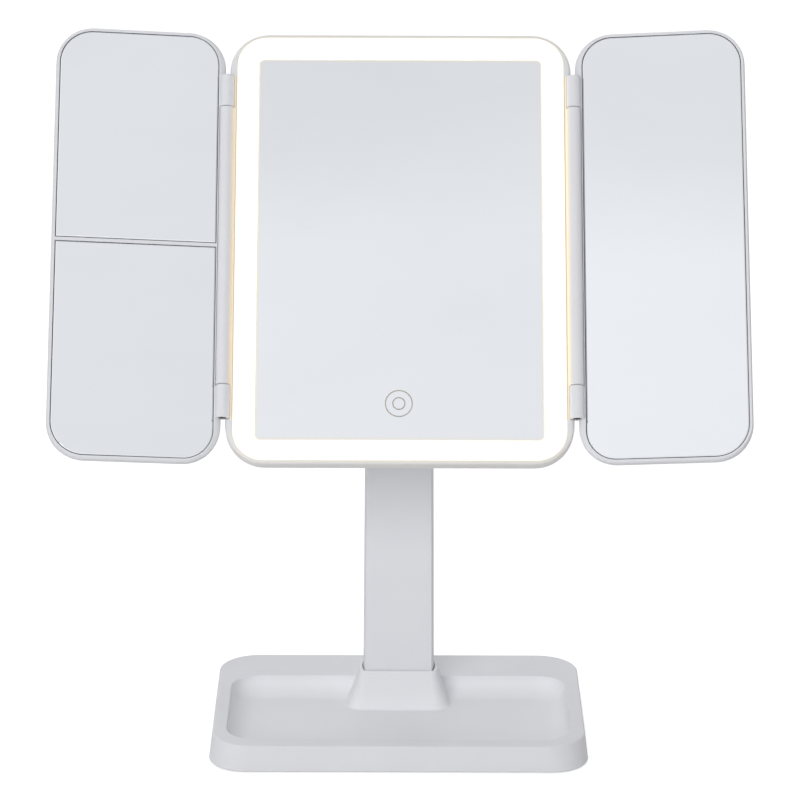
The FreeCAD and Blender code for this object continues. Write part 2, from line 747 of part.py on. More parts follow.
def makeBatteryHolder():
    """Open tray with a half-round cradle under each cell."""
    body = newBody("battery_holder", headFrame)
    block = newSketch(body, "XZ_Plane", along="cellRise", out="-holderBack")
    drawRectangle(block, "holderWidth", "holderHeight")
    pad(body, block, "holderBack - bandDepth - carrierDepth")
    room = newSketch(body, "XZ_Plane", along="cellRise", out="-holderBack")
    drawRectangle(room, "holderWidth - 2 * holderWall", "holderHeight - 2 * holderWall")
    pocket(body, room, "holderBack - cellSetback", backward=True)
    cradles = newSketch(body, "XY_Plane", out="cellRise")
    drawPolygons(cradles, "cellRadius + fitGap", [(place, "cellSetback") for place in cellPlaces], flats=12)
    pocket(body, cradles, "holderHeight - 2 * holderWall", both=True)


def makeCells():
    """Four AAA cells side by side, every second one the other way up."""
    half = size("cellLength") / 2
    stages = (("cellRadius", "%.2f" % (size("cellLength") - size("nubLength"))), ("nubRadius", "nubLength"))
    cells = []
    for index in range(4):
        flip = index % 2 == 1
        spot = ((index - 1.5) * size("cellPitch"), size("cellSetback"),
                size("cellRise") + (half if flip else -half))
        turn = Rotation(Vector(1, 0, 0), 180) if flip else upright
        cells.append(stepped("cell", headFrame, spot, turn, stages, flats=12))
    combine("Compound", "battery_cells", *cells)


def makeContacts():
    """A sprung plate under each cell's flat end and a plain plate at its button end."""
    plate = size("contactThickness")
    width = size("contactWidth")
    end = size("holderHeight") / 2 - size("holderWall")
    reach = end - plate - size("cellLength") / 2
    pieces = []
    for index in range(4):
        across = (index - 1.5) * size("cellPitch")
        for side in (-1, 1):
            low = size("cellRise") + side * (end - plate / 2) - plate / 2
            pieces.append(primitive("Box", "contact_plate", headFrame,
                                    (across - width / 2, size("cellSetback") - width / 2, low),
                                    Length="contactWidth", Width="contactWidth",
                                    Height="contactThickness"))
        spring = 1 if index % 2 == 1 else -1
        foot = size("cellRise") + spring * (end - plate)
        turn = Rotation(Vector(1, 0, 0), 180) if spring > 0 else upright
        coil = primitive("Prism", "contact_spring", headFrame, (across, size("cellSetback"), foot),
                         turn, Circumradius="springRadius", Height="%.2f" % reach)
        coil.Polygon = 8
        pieces.append(coil)
    combine("Compound", "battery_contacts", *pieces)


def makeBatteryDoor():
    """Snap-in door, flush with the plateau, with a finger scoop and grip grooves."""
    body = newBody("battery_door", headFrame)
    outline = newSketch(body, "XZ_Plane", along="cellRise", out="-" + plateauBack)
    drawRectangle(outline, "doorWidth", "doorHeight", "doorCorner")
    pad(body, outline, "doorThickness")
    for index in range(4):
        level = "cellRise + doorHeight / 2 - grooveTop - %d * groovePitch" % index
        groove = newSketch(body, "XZ_Plane", along=level, out="-" + plateauBack)
        drawRectangle(groove, "grooveLength - %d * grooveStep" % index, "grooveWidth")
        pocket(body, groove, "grooveDepth", backward=True)


# ---- tilt joint ---------------------------------------------------------------------------------

def makeBracket():
    """Bent steel plate on the plateau whose two ears hold the axle."""
    body = newBody("tilt_bracket", headFrame)
    plate = newSketch(body, "XZ_Plane", out="-" + plateauBack)
    drawBevelled(plate, "bracketWidth", "bracketHeight", "bracketBevel")
    pad(body, plate, "bracketThickness", backward=True)
    for side in (-1, 1):
        cheek = newSketch(body, "YZ_Plane", out="%d * earInner" % side)
        drawOutline(cheek, [(plateauBack, "-bracketHeight / 2 + 2"), ("pivotSetback", "-earRadius"),
                            ("pivotSetback", "earRadius"), (plateauBack, "bracketHeight / 2 - 2")])
        pad(body, cheek, "earThickness", backward=side < 0)
        eye = newSketch(body, "YZ_Plane", across="pivotSetback", out="%d * earInner" % side)
        drawCircles(eye, "earRadius")
        pad(body, eye, "earThickness", backward=side < 0)
    bore = newSketch(body, "YZ_Plane", across="pivotSetback")
    drawCircles(bore, "axleRadius")
    pocket(body, bore, "bracketWidth", both=True)
    holes = newSketch(body, "XZ_Plane", out="-" + plateauBack)
    drawPolygons(holes, "screwRadius", bracketScrews)
    pocket(body, holes, "bracketThickness")


def makeAxle():
    reach = size("earInner") + size("earThickness")
    shank = "2 * (earInner + earThickness) + nutLength"
    parts = []
    for radius, length, at in (("axleHeadRadius", "axleHeadLength", -reach - size("axleHeadLength")),
                               ("axleRadius", shank, -reach)):
        parts.append(primitive("Cylinder", "axle_stage", headFrame, (at, size("pivotSetback"), 0), alongX,
                               Radius=radius, Height=length))
    combine("MultiFuse", "tilt_axle", *parts)
    nut = primitive("Prism", "nut_blank", headFrame, (reach, size("pivotSetback"), 0), alongX,
                    Circumradius="nutRadius", Height="nutLength")
    nut.Polygon = 6
    thread = primitive("Prism", "nut_thread", headFrame, (reach, size("pivotSetback"), 0), alongX,
                       Circumradius="axleRadius + freeGap / 2", Height="nutLength")
    thread.Polygon = 12
    combine("Cut", "axle_nut", nut, thread)


def makeWashers():
    body = newBody("friction_washers", headFrame)
    for side in (-1, 1):
        ring = newSketch(body, "YZ_Plane", across="pivotSetback", out="%d * earInner" % side)
        drawPolygons(ring, "washerRadius")
        drawPolygons(ring, "axleRadius + freeGap", flats=12)
        pad(body, ring, "washerThickness", backward=side > 0)


# ---- wings --------------------------------------------------------------------------------------

wingGlassWidth = "wingWidth - wingHingeMargin - wingOuterMargin"
wingGlassHeight = "headHeight - 2 * wingEndMargin"
wingGlassFloor = "(hingeProud + wingGlassDepth + tapeThickness)"


def wingMiddle(side):
    return "%d * (wingGap + wingHingeMargin + (%s) / 2)" % (side, wingGlassWidth)


def makeWingShell(label, side, divided):
    """Shallow tray with end knuckles on the hinge axis and a channel that clears the middle barrel."""
    body = newBody(label, wingFrame(side))
    outline = newSketch(body, "XZ_Plane", across="%d * (wingGap + wingWidth / 2)" % side,
                        out="-(hingeProud + wingDepth)")
    drawRectangle(outline, "wingWidth", "headHeight", "wingCorner")
    pad(body, outline, "wingDepth")
    soften(body, "wingEdge", inPlane("y", size("hingeProud") + size("wingDepth")), "Chamfer")
    channel = newSketch(body, "XY_Plane")
    drawCircles(channel, "reliefRadius")
    pocket(body, channel, "2 * knuckleStart", both=True)
    for end in (-1, 1):
        knuckle = newSketch(body, "XY_Plane", out="%d * knuckleStart" % end)
        drawCircles(knuckle, "barrelRadius")
        pad(body, knuckle, "knuckleEnd - knuckleStart", backward=end < 0)
        bore = newSketch(body, "XY_Plane", out="%d * knuckleStart" % end)
        drawPolygons(bore, "pinRadius", flats=12)
        pocket(body, bore, "knuckleEnd - knuckleStart - shellWall", backward=end > 0)
    seat = newSketch(body, "XZ_Plane", across=wingMiddle(side), out="-hingeProud")
    drawRectangle(seat, wingGlassWidth, wingGlassHeight, "wingGlassCorner")
    pocket(body, seat, "wingGlassDepth + tapeThickness")
    hollow = newSketch(body, "XZ_Plane", across=wingMiddle(side), out="-" + wingGlassFloor)
    drawBevelled(hollow, wingGlassWidth + " - 2 * wingLedge", wingGlassHeight + " - 2 * wingLedge",
                 "wingGlassCorner / 2")
    pocket(body, hollow, "wingHollow")
    for step in (-1, 0, 1):
        rib = newSketch(body, "XZ_Plane", across=wingMiddle(side), along="%d * headHeight / 4" % step,
                        out="-" + wingGlassFloor)
        drawRectangle(rib, wingGlassWidth + " - wingLedge", "2 * ribWidth" if step == 0 else "ribWidth")
        pad(body, rib, "wingHollow", backward=True)
    spine = newSketch(body, "XZ_Plane", across=wingMiddle(side), out="-" + wingGlassFloor)
    drawRectangle(spine, "ribWidth", wingGlassHeight + " - wingLedge")
    pad(body, spine, "wingHollow", backward=True)
    if divided:
        bar = newSketch(body, "XZ_Plane", across=wingMiddle(side), out="-" + wingGlassFloor)
        drawRectangle(bar, wingGlassWidth, "dividerWidth")
        pad(body, bar, "wingGlassDepth + tapeThickness")


def makeWingGlass(label, side, part=0):
    """Bevelled mirror sheet: the whole window, or its upper (1) or lower (-1) half."""
    body = newBody(label, wingFrame(side))
    outline = newSketch(body, "XZ_Plane", across=wingMiddle(side), out="-(hingeProud + wingGlassDepth)")
    drawRectangle(outline, wingGlassWidth + " - 2 * wingGlassGap", wingGlassHeight + " - 2 * wingGlassGap",
                  "wingGlassCorner - wingGlassGap")
    pad(body, outline, "wingGlassDepth")
    if part:
        other = newSketch(body, "XZ_Plane", across=wingMiddle(side), out="-hingeProud",
                          along="%d * (dividerWidth / 2 + wingGlassGap - headHeight / 2)" % part)
        drawRectangle(other, "wingWidth", "headHeight")
        pocket(body, other, "wingGlassDepth")
    soften(body, "wingGlassBevel", inPlane("y", size("hingeProud")), "Chamfer")


def makeWingPads(label, side, divided):
    """Strips of thin foam tape that the glass is stuck down with."""
    body = newBody(label, wingFrame(side))
    tape = "wingLedge - 1"
    column = "((%s) / 2 - wingLedge / 2)" % wingGlassWidth
    row = "((%s) / 2 - wingLedge / 2)" % wingGlassHeight
    length = wingGlassHeight + " - 2 * wingGlassCorner"
    strips = [("%d * %s" % (end, column), "0", tape, length) for end in (-1, 1)]
    strips += [("0", "%d * %s" % (end, row), wingGlassWidth + " - 2 * wingGlassCorner", tape)
               for end in (-1, 1)]
    for across, along, width, height in strips:
        strip = newSketch(body, "XZ_Plane", across=wingMiddle(side) + " + " + across, along=along,
                          out="-" + wingGlassFloor)
        drawRectangle(strip, width, height)
        pad(body, strip, "tapeThickness")
    if divided:
        bar = newSketch(body, "XZ_Plane", across=wingMiddle(side), out="-hingeProud")
        drawRectangle(bar, "wingWidth", "dividerWidth + 2 * wingGlassGap")
        pocket(body, bar, "wingDepth")


def makeHingePins(label, side):
    """Two steel pins, fixed in the wing's knuckles, that turn in the barrel's bushes."""
    body = newBody(label, wingFrame(side))
    for end in (-1, 1):
        start = newSketch(body, "XY_Plane", out="%d * (barrelHalf - pinReach)" % end)
        drawPolygons(start, "pinRadius", flats=12)
        pad(body, start, "knuckleEnd - shellWall - barrelHalf + pinReach", backward=end < 0)


def makeHingeBushes():
    body = newBody("hinge_bushes", headFrame)
    for end in (-1, 1):
        for spot in hingeAxes:
            ring = newSketch(body, "XY_Plane", across=spot[0], along=spot[1], out="%d * barrelHalf" % end)
            drawPolygons(ring, "bushRadius")
            drawPolygons(ring, "pinRadius + runningGap", flats=12)
            pad(body, ring, "bushLength", backward=end > 0)


# ---- fasteners ----------------------------------------------------------------------------------

def spotsOnFace(spots, depth):
    """Screw places on a face of the head or the stem, in millimetres."""
    return [(across, depth, rise) for across, rise in spots]


def corners(across, rise):
    return [(i * size(across), j * size(rise)) for i in (-1, 1) for j in (-1, 1)]


def makeScrews():
    back = size("frameDepth") + size("coverDepth")
    sunk = size("screwHeadHeight")
    screws("head_screws", headFrame,
           spotsOnFace(corners("headScrewX", "headScrewZ") + corners("postX", "postZ"), back),
           towardFront, "screwHeadHeight", "7")
    plate = back + size("plateauDepth") + size("bracketThickness")
    screws("bracket_screws", headFrame,
           spotsOnFace(corners("bracketScrewX", "bracketScrewZ"), plate + size("bracketScrewHead")),
           towardFront, "bracketScrewHead", "7")
    screws("base_screws", baseFrame,
           [(i * size("baseScrewX"), size(row), size("baseBottom")) for i in (-1, 1)
            for row in ("baseScrewBack", "baseScrewFront")], upright, "screwHeadHeight", "6")
    screws("stem_base_screws", baseFrame,
           [(i * size("stemScrewX"), size("pivotY") - size("baseY"), size("baseBottom")) for i in (-1, 1)],
           upright, "screwHeadHeight", "7")
    screws("stem_shell_screws", stemFrame,
           [(0, size("stemDepth") / 2, size("pivotZ") * part) for part in (0.25, 0.55, 0.85)],
           towardFront, "screwHeadHeight", "11")


makeBaseTray()
makeBottomCover()
makeFeet()
makeBallast()
makeStemShell("stem_front_shell", rear=False)
makeStemShell("stem_rear_shell", rear=True)
makeSpine()
makeFrontFrame()
makeLightPanel()
makeCentreMirror()
makeMirrorCarrier()
makeLedBoard()
makeLedChips()
makeRearCover()
makeTouchSensor()
makeControlBoard()
makeBatteryHolder()
makeCells()
makeContacts()
makeBatteryDoor()
makeBracket()
makeAxle()
makeWashers()
makeHingeBushes()
makeWingShell("left_wing_shell", -1, divided=True)
makeWingShell("right_wing_shell", 1, divided=False)
makeWingGlass("left_wing_upper_mirror", -1, part=1)
makeWingGlass("left_wing_lower_mirror", -1, part=-1)
makeWingGlass("right_wing_mirror", 1)
makeWingPads("left_wing_mirror_pads", -1, divided=True)
makeWingPads("right_wing_mirror_pads", 1, divided=False)
makeHingePins("left_hinge_pins", -1)
makeHingePins("right_hinge_pins", 1)
makeScrews()
doc.recompute()

# ---- export -------------------------------------------------------------------------------------

faulty = [item.Label for item in doc.Objects if "Invalid" in item.State or "Error" in item.State]
if faulty:
    raise RuntimeError("these objects failed: " + ", ".join(faulty))

used = set()
for item in doc.Objects:
    if item.TypeId in ("Part::Compound", "Part::MultiFuse", "Part::Cut"):
        used.update(child.Name for child in item.OutList)
subparts = [item for item in doc.Objects
            if item.TypeId in ("PartDesign::Body", "Part::Compound", "Part::MultiFuse", "Part::Cut")
            and item.Name not in used]

os.makedirs("parts", exist_ok=True)
for item in subparts:
    shape = item.Shape
    if shape.isNull() or not shape.isValid():
        raise RuntimeError("the shape of %s is not valid" % item.Label)
    shape.exportStep("parts/%s.step" % item.Label)
    print("%-24s %2d solid(s) %9.1f mm3" % (item.Label, len(shape.Solids), shape.Volume))
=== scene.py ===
import json
from math import cos, pi, radians, sin, sqrt, tan
import bmesh
import bpy
from mathutils import Matrix, Vector

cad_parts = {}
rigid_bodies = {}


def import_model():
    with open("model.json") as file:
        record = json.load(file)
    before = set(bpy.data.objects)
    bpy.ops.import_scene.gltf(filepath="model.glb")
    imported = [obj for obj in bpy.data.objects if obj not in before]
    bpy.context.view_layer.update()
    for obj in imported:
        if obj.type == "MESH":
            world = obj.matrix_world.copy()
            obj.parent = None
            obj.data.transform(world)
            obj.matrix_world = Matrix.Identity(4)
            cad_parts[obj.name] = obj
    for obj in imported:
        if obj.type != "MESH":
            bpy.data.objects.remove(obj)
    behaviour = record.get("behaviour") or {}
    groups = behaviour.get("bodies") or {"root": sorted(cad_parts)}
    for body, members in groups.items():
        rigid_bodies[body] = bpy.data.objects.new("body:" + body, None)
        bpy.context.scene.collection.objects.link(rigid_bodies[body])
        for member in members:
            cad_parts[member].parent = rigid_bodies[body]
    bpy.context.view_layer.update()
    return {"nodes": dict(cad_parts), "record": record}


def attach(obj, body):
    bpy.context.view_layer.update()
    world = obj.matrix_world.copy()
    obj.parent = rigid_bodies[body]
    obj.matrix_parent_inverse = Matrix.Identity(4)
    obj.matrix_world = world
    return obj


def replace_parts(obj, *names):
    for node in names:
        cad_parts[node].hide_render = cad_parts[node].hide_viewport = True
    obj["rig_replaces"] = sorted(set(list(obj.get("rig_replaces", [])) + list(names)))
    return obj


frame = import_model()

placing = {
    "tiltBack": 33.04,
    "wingForward": 7.5,
    "pivotY": 24.68,
    "pivotZ": 252.7,
    "pivotSetback": 30.4,
    "hingeSpread": 90.3,
    "hingeProud": 0.8,
    "baseY": 2.68,
}
headTurn = Matrix.Rotation(-radians(placing["tiltBack"]), 4, "X")
toMetres = Matrix.Diagonal((0.001, 0.001, 0.001, 1))
headPlace = (toMetres @ Matrix.Translation((0, placing["pivotY"], placing["pivotZ"]))
             @ headTurn @ Matrix.Translation((0, -placing["pivotSetback"], 0)))


def wingPlace(side):
    axis = Matrix.Translation((side * placing["hingeSpread"], -placing["hingeProud"], 0))
    return headPlace @ axis @ Matrix.Rotation(-side * radians(placing["wingForward"]), 4, "Z")


# the body and the place of each home; a wing goes by its side, -1 for the left
homes = {
    "base": ("stand", toMetres @ Matrix.Translation((0, placing["baseY"], 0))),
    "stem": ("stand", toMetres @ Matrix.Translation((0, placing["pivotY"], 0))),
    "head": ("head", headPlace),
    "door": ("battery_door", headPlace),
    -1: ("left_wing", wingPlace(-1)),
    1: ("right_wing", wingPlace(1)),
}
sharpFrom = radians(30)
past = 1  # how far a cutter reaches beyond what it cuts
rooted = 0.02  # how deep a raised form starts in what it stands on
weld = 0.000001  # corners closer than this are one


def quarterTurn(steps):
    return [radians(90 * step / steps) for step in range(steps + 1)]


def fourSpots(across, up):
    return [(i * across, j * up) for i in (-1, 1) for j in (-1, 1)]


def fourRadii(corners):
    # one radius for every corner, or four of them from the lower right one anticlockwise
    return corners if isinstance(corners, tuple) else (corners,) * 4


def roundedRing(width, height, corners, middle=(0, 0), steps=14):
    ring = []
    for quarter, (across, up) in enumerate(((1, -1), (1, 1), (-1, 1), (-1, -1))):
        radius = fourRadii(corners)[quarter]
        for step in range(steps + 1):
            angle = radians(90 * (quarter - 1 + step / steps))
            ring.append((middle[0] + across * (width / 2 - radius) + radius * cos(angle),
                         middle[1] + up * (height / 2 - radius) + radius * sin(angle)))
    return ring


def shrink(size, amount, least=0.05):
    width, height, corners = size
    radii = tuple(max(radius - amount, least) for radius in fourRadii(corners))
    return width - 2 * amount, height - 2 * amount, radii


def flat(size, level, middle=(0, 0), inset=0):
    return roundedRing(*shrink(size, inset), middle), level


def roundOver(size, level, radius, towards, middle=(0, 0), inset=0, steps=6):
    # rings of a rounded edge that begins at the level; a negative radius flares outwards
    return [flat(size, level + towards * abs(radius) * sin(angle), middle,
                 inset + radius * (1 - cos(angle))) for angle in quarterTurn(steps)]


def stack(size, pairs, middle=(0, 0)):
    # a ring for each (level, inset)
    return [flat(size, level, middle, inset) for level, inset in pairs]


def addObject(name, data):
    added = bpy.data.objects.new(name, data)
    bpy.context.scene.collection.objects.link(added)
    return added


def pieceFrom(name, bm):
    bmesh.ops.recalc_face_normals(bm, faces=bm.faces)
    mesh = bpy.data.meshes.new(name)
    bm.to_mesh(mesh)
    bm.free()
    return addObject(name, mesh)


def loft(name, rings, plane="XZ", closed=False):
    # rings of (outline, level), with the levels along the axis that the plane lacks
    bm = bmesh.new()
    order = {"XZ": (0, 2, 1), "XY": (0, 1, 2), "YZ": (2, 0, 1)}[plane]
    loops = [[bm.verts.new([(u, v, level)[axis] for axis in order]) for u, v in outline]
             for outline, level in rings]
    if closed:
        loops.append(loops[0])
    else:
        bm.faces.new(loops[0])
        bm.faces.new(loops[-1])
    count = len(loops[0])
    for lower, upper in zip(loops, loops[1:]):
        for i in range(count):
            j = (i + 1) % count
            bm.faces.new((lower[i], lower[j], upper[j], upper[i]))
    return pieceFrom(name, bm)


def straightWall(low, high, edge):
    # levels with their insets, bevelled at both ends where an edge is asked for
    if edge:
        return [(low, edge), (low + edge, 0), (high - edge, 0), (high, edge)]
    return [(low, 0), (high, 0)]


def slab(name, size, low, high, middle=(0, 0), plane="XZ", edge=0):
    return loft(name, stack(size, straightWall(low, high, edge), middle), plane)


def circle(radius, middle=(0, 0), steps=40):
    turns = [2 * pi * i / steps for i in range(steps)]
    return [(middle[0] + radius * cos(turn), middle[1] + radius * sin(turn)) for turn in turns]


def turned(name, profile, plane="XY", middle=(0, 0), steps=40, closed=False):
    # a lathe: radius and level pairs about the axis that the plane lacks
    rings = [(circle(radius, middle, steps), level) for radius, level in profile]
    return loft(name, rings, plane, closed)


def rod(name, radius, low, high, plane="XY", middle=(0, 0), edge=0):
    wall = straightWall(low, high, edge)
    return turned(name, [(radius - inset, level) for level, inset in wall], plane, middle)


def rods(radius, low, high, spots, plane="XY"):
    return [rod("rod", radius, low, high, plane, spot) for spot in spots]


def gather(name, pieces):
    bm = bmesh.new()
    for piece in pieces:
        bm.from_mesh(piece.data)
        bpy.data.objects.remove(piece)
    return pieceFrom(name, bm)


def bakeModifiers(piece):
    bpy.context.view_layer.update()
    shaped = piece.evaluated_get(bpy.context.evaluated_depsgraph_get())
    mesh = bpy.data.meshes.new_from_object(shaped)
    piece.modifiers.clear()
    piece.data = mesh


def carve(piece, *tools, operation="DIFFERENCE"):
    for tool in tools:
        modifier = piece.modifiers.new("carve", "BOOLEAN")
        modifier.operation = operation
        modifier.solver = "EXACT"
        modifier.object = tool
    bakeModifiers(piece)
    for tool in tools:
        bpy.data.objects.remove(tool)


def fuse(piece, *others):
    carve(piece, *others, operation="UNION")


def settle(piece, home, slot, *nodes, look=None):
    body, place = homes[home]
    mesh = piece.data
    mesh.transform(place)
    mesh.shade_smooth()
    mesh.set_sharp_from_angle(angle=sharpFrom)
    mesh.materials.clear()
    mesh.materials.append(look or finishes[slot])
    piece.modifiers.new("faceWeights", "WEIGHTED_NORMAL").keep_sharp = True
    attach(piece, body)
    if nodes:
        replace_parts(piece, *nodes)


def feed(node, inputs):
    # sets each input, or links it where the value is a socket, or a node with its first output
    for name, value in inputs.items():
        if isinstance(value, bpy.types.Node):
            value = value.outputs[0]
        if isinstance(value, bpy.types.NodeSocket):
            node.id_data.links.new(value, node.inputs[name])
        else:
            node.inputs[name].default_value = value


def put(tree, kind, inputs=None, **settings):
    node = tree.nodes.new(kind)
    for name, value in settings.items():
        setattr(node, name, value)
    feed(node, inputs or {})
    return node


def putBeside(values, kind, inputs, **settings):
    # in the tree of the first value that comes from a node
    tree = next(value.id_data for value in values if hasattr(value, "id_data"))
    return put(tree, kind, inputs, **settings)


def calc(operation, *values):
    inputs = dict(enumerate(values))
    return putBeside(values, "ShaderNodeMath", inputs, operation=operation).outputs[0]


def vectorMaths(operation, first, second):
    return putBeside((first,), "ShaderNodeVectorMath", {0: first, 1: second}, operation=operation)


def vectorOf(**parts):
    return putBeside(parts.values(), "ShaderNodeCombineXYZ", parts)


def split(vector):
    return putBeside((vector,), "ShaderNodeSeparateXYZ", {0: vector}).outputs


def remap(value, low, high, toLow=0.0, toHigh=1.0, **settings):
    ends = {"Value": value, "From Min": low, "From Max": high, "To Min": toLow, "To Max": toHigh}
    return putBeside((value,), "ShaderNodeMapRange", ends, **settings).outputs[0]


def mixColours(factor, first, second):
    sockets = {0: factor, 6: first, 7: second}
    return putBeside((factor,), "ShaderNodeMix", sockets, data_type="RGBA").outputs[2]


def noise(vector, scale, detail=3.0):
    inputs = {"Vector": vector, "Scale": scale, "Detail": detail}
    return putBeside((vector,), "ShaderNodeTexNoise", inputs).outputs[0]


def bumpFrom(height, distance):
    inputs = {"Height": height, "Distance": distance, "Strength": 1.0}
    return putBeside((height,), "ShaderNodeBump", inputs)


def socketKind(value):
    if isinstance(value, tuple):
        return "Color" if len(value) == 4 else "Vector"
    return {str: value, float: "Float", int: "Int"}[type(value)]


def newGroup(name, kind, inputs, outputs):
    # an input is given by its first value, or by its kind of socket where it has none
    tree = bpy.data.node_groups.new(name, kind)
    for label, value in inputs.items():
        kind = "NodeSocket" + socketKind(value)
        socket = tree.interface.new_socket(label, in_out="INPUT", socket_type=kind)
        if not isinstance(value, str):
            socket.default_value = value
    for label, socketType in outputs.items():
        tree.interface.new_socket(label, in_out="OUTPUT", socket_type="NodeSocket" + socketType)
    return tree, tree.nodes.new("NodeGroupInput").outputs


effects = {
    "drift": (0.35, 0.65),  # the levels of the noise between which one shade gives way to the other
    "stretches": ((1, 0.06, 18), (18, 1, 0.06)),
    "line": (0.62, 0.7),
    "patchScale": 22.0,
    "patchTop": 0.75,
}


def makeMouldedSkin():
    # slow drift between two shades, a matching drift in gloss, and a fine grain
    tree, given = newGroup("mouldedSkin", "ShaderNodeTree", {
        "Vector": "Vector", "Colour": (0.8, 0.8, 0.8, 1), "Shade": (0.7, 0.7, 0.7, 1),
        "Mottle scale": 30.0, "Smoothest": 0.35, "Roughest": 0.5, "Grain scale": 2500.0,
        "Grain height": 0.00002}, {"Colour": "Color", "Roughness": "Float", "Normal": "Vector"})
    drift = remap(noise(given["Vector"], given["Mottle scale"]), *effects["drift"])
    grain = noise(given["Vector"], given["Grain scale"], 2.0)
    put(tree, "NodeGroupOutput", {
        "Colour": mixColours(drift, given["Colour"], given["Shade"]),
        "Roughness": remap(drift, 0, 1, given["Smoothest"], given["Roughest"]),
        "Normal": bumpFrom(grain, given["Grain height"])})
    return tree


def makeFineScuffs():
    # hairlines in two directions, kept to a few patches
    tree, given = newGroup("fineScuffs", "ShaderNodeTree", {
        "Vector": "Vector", "Scale": 60.0, "Cover": 0.2}, {"Mask": "Float"})
    lines = []
    for stretch in effects["stretches"]:
        pulled = vectorMaths("MULTIPLY", given["Vector"], stretch)
        lines.append(remap(noise(pulled, given["Scale"], 2.0), *effects["line"]))
    patches = noise(given["Vector"], effects["patchScale"], 1.0)
    limit = calc("SUBTRACT", effects["patchTop"], given["Cover"])
    where = calc("GREATER_THAN", patches, limit)
    put(tree, "NodeGroupOutput", {"Mask": calc("MULTIPLY", calc("MAXIMUM", *lines), where)})
    return tree


def makePanelDistance():
    # millimetres from a rounded rectangle on the head's front plane, negative inside
    tree, given = newGroup("panelDistance", "ShaderNodeTree", {
        "Vector": "Vector", "Half width": 80.0, "Half height": 100.0, "Corner": 10.0, "Rise": 0.0},
        {"Distance": "Float", "Across": "Float", "Up": "Float"})
    pivot = Vector((0, placing["pivotY"], placing["pivotZ"]))
    local = put(tree, "ShaderNodeMapping", {
        "Vector": given["Vector"], "Location": headTurn.inverted() @ -pivot,
        "Rotation": (radians(placing["tiltBack"]), 0, 0), "Scale": (1000, 1000, 1000)})
    parts = split(local)
    across = calc("ABSOLUTE", parts["X"])
    up = calc("ABSOLUTE", calc("SUBTRACT", parts["Z"], given["Rise"]))
    over = [calc("ADD", calc("SUBTRACT", value, given[half]), given["Corner"])
            for value, half in ((across, "Half width"), (up, "Half height"))]
    squares = [calc("POWER", calc("MAXIMUM", value, 0.0), 2.0) for value in over]
    outside = calc("SQRT", calc("ADD", *squares))
    inside = calc("MINIMUM", calc("MAXIMUM", *over), 0.0)
    distance = calc("SUBTRACT", calc("ADD", outside, inside), given["Corner"])
    put(tree, "NodeGroupOutput", {"Distance": distance, "Across": across, "Up": parts["Z"]})
    return tree


mouldedSkin = makeMouldedSkin()
fineScuffs = makeFineScuffs()
panelDistance = makePanelDistance()
panels = {
    "band": {"Half width": 85.25, "Half height": 114.15, "Corner": 15.5},
    "glass": {"Half width": 73.6, "Half height": 102.65, "Corner": 2.5, "Rise": -0.8},
}
print("surface effects built")


def fromPanel(spot, panel):
    inputs = {"Vector": spot, **panels[panel]}
    return putBeside((spot,), "ShaderNodeGroup", inputs, node_tree=panelDistance).outputs


def startMaterial(name, **sockets):
    material = bpy.data.materials.new(name)
    material.use_nodes = True
    tree = material.node_tree
    tree.nodes.clear()
    shader = put(tree, "ShaderNodeBsdfPrincipled", sockets)
    put(tree, "ShaderNodeOutputMaterial", {"Surface": shader})
    return material, tree, shader, put(tree, "ShaderNodeTexCoord").outputs["Object"]


def makeFinish(name, skin, scuffs=None, effect=None, **sockets):
    # the skin, the scuffs that polish or dull it, and what else the light does there
    material, tree, shader, spot = startMaterial(name, **sockets)
    first, second, mottle, gloss, grain = skin
    made = put(tree, "ShaderNodeGroup", {
        "Vector": spot, "Colour": (*first, 1), "Shade": (*second, 1), "Mottle scale": mottle,
        "Smoothest": gloss[0], "Roughest": gloss[1], "Grain scale": grain[0],
        "Grain height": grain[1]}, node_tree=mouldedSkin).outputs
    roughness = made["Roughness"]
    if scuffs:
        scale, cover, gain = scuffs
        marks = put(tree, "ShaderNodeGroup", {"Vector": spot, "Scale": scale, "Cover": cover},
                    node_tree=fineScuffs)
        roughness = calc("ADD", roughness, calc("MULTIPLY", marks, gain))
    feed(shader, {"Base Color": made["Colour"], "Roughness": roughness, "Normal": made["Normal"]})
    if effect:
        effect(shader, spot, made["Colour"])
    return material


# a skin is two tones, the scale of their mottling, gloss from and to, and scale and height of the
# grain; scuffs are their scale, how much they cover and what they do to the roughness
shell = {
    "skin": ((0.792, 0.800, 0.822), (0.790, 0.784, 0.812), 28, (0.36, 0.44), (2600, 0.000012)),
    "scuffs": (70, 0.22, -0.08),
    # painted light: the paler tone laid in these boxes stands in for light bouncing round the
    # hollow
    "hollow": [  # the tray's hollow, and the collar that stands in it, each with how softly it ends
        ({"X": (-0.0909, 0.0909), "Y": (-0.0517, 0.036), "Z": (0.0, 0.0146)}, 0.0004),
        ({"X": (-0.0285, 0.0285), "Y": (0.009, 0.0295), "Z": (0.004, 0.027)}, 0.006),
    ],
    "paintedLightShare": 0.55,
    "paintedLightTone": (0.870, 0.872, 0.888, 1),
}
paintedGlow = {
    "wallFrom": 80.0,
    "wallEnds": (93.1, 92.6),
    "rimEnds": (94.0, 110.0),
    # how far each part fades in from the lit sheet, its painted tint and its painted light
    "rim": ((4.4, 0.0), (0.80, 0.775, 0.735, 1), (0.05, 0.042, 0.028, 1)),
    "barrel": ((3.5, 1.45), (0.80, 0.76, 0.68, 1), (0.13, 0.075, 0.01, 1)),
    "wall": ((1.65, 1.35), (0.80, 0.75, 0.66, 1), (0.27, 0.19, 0.10, 1)),
    "seam": ((0.75, 0.45), (0.64, 0.56, 0.46, 1), (0.05, 0.03, 0.0, 1)),
}


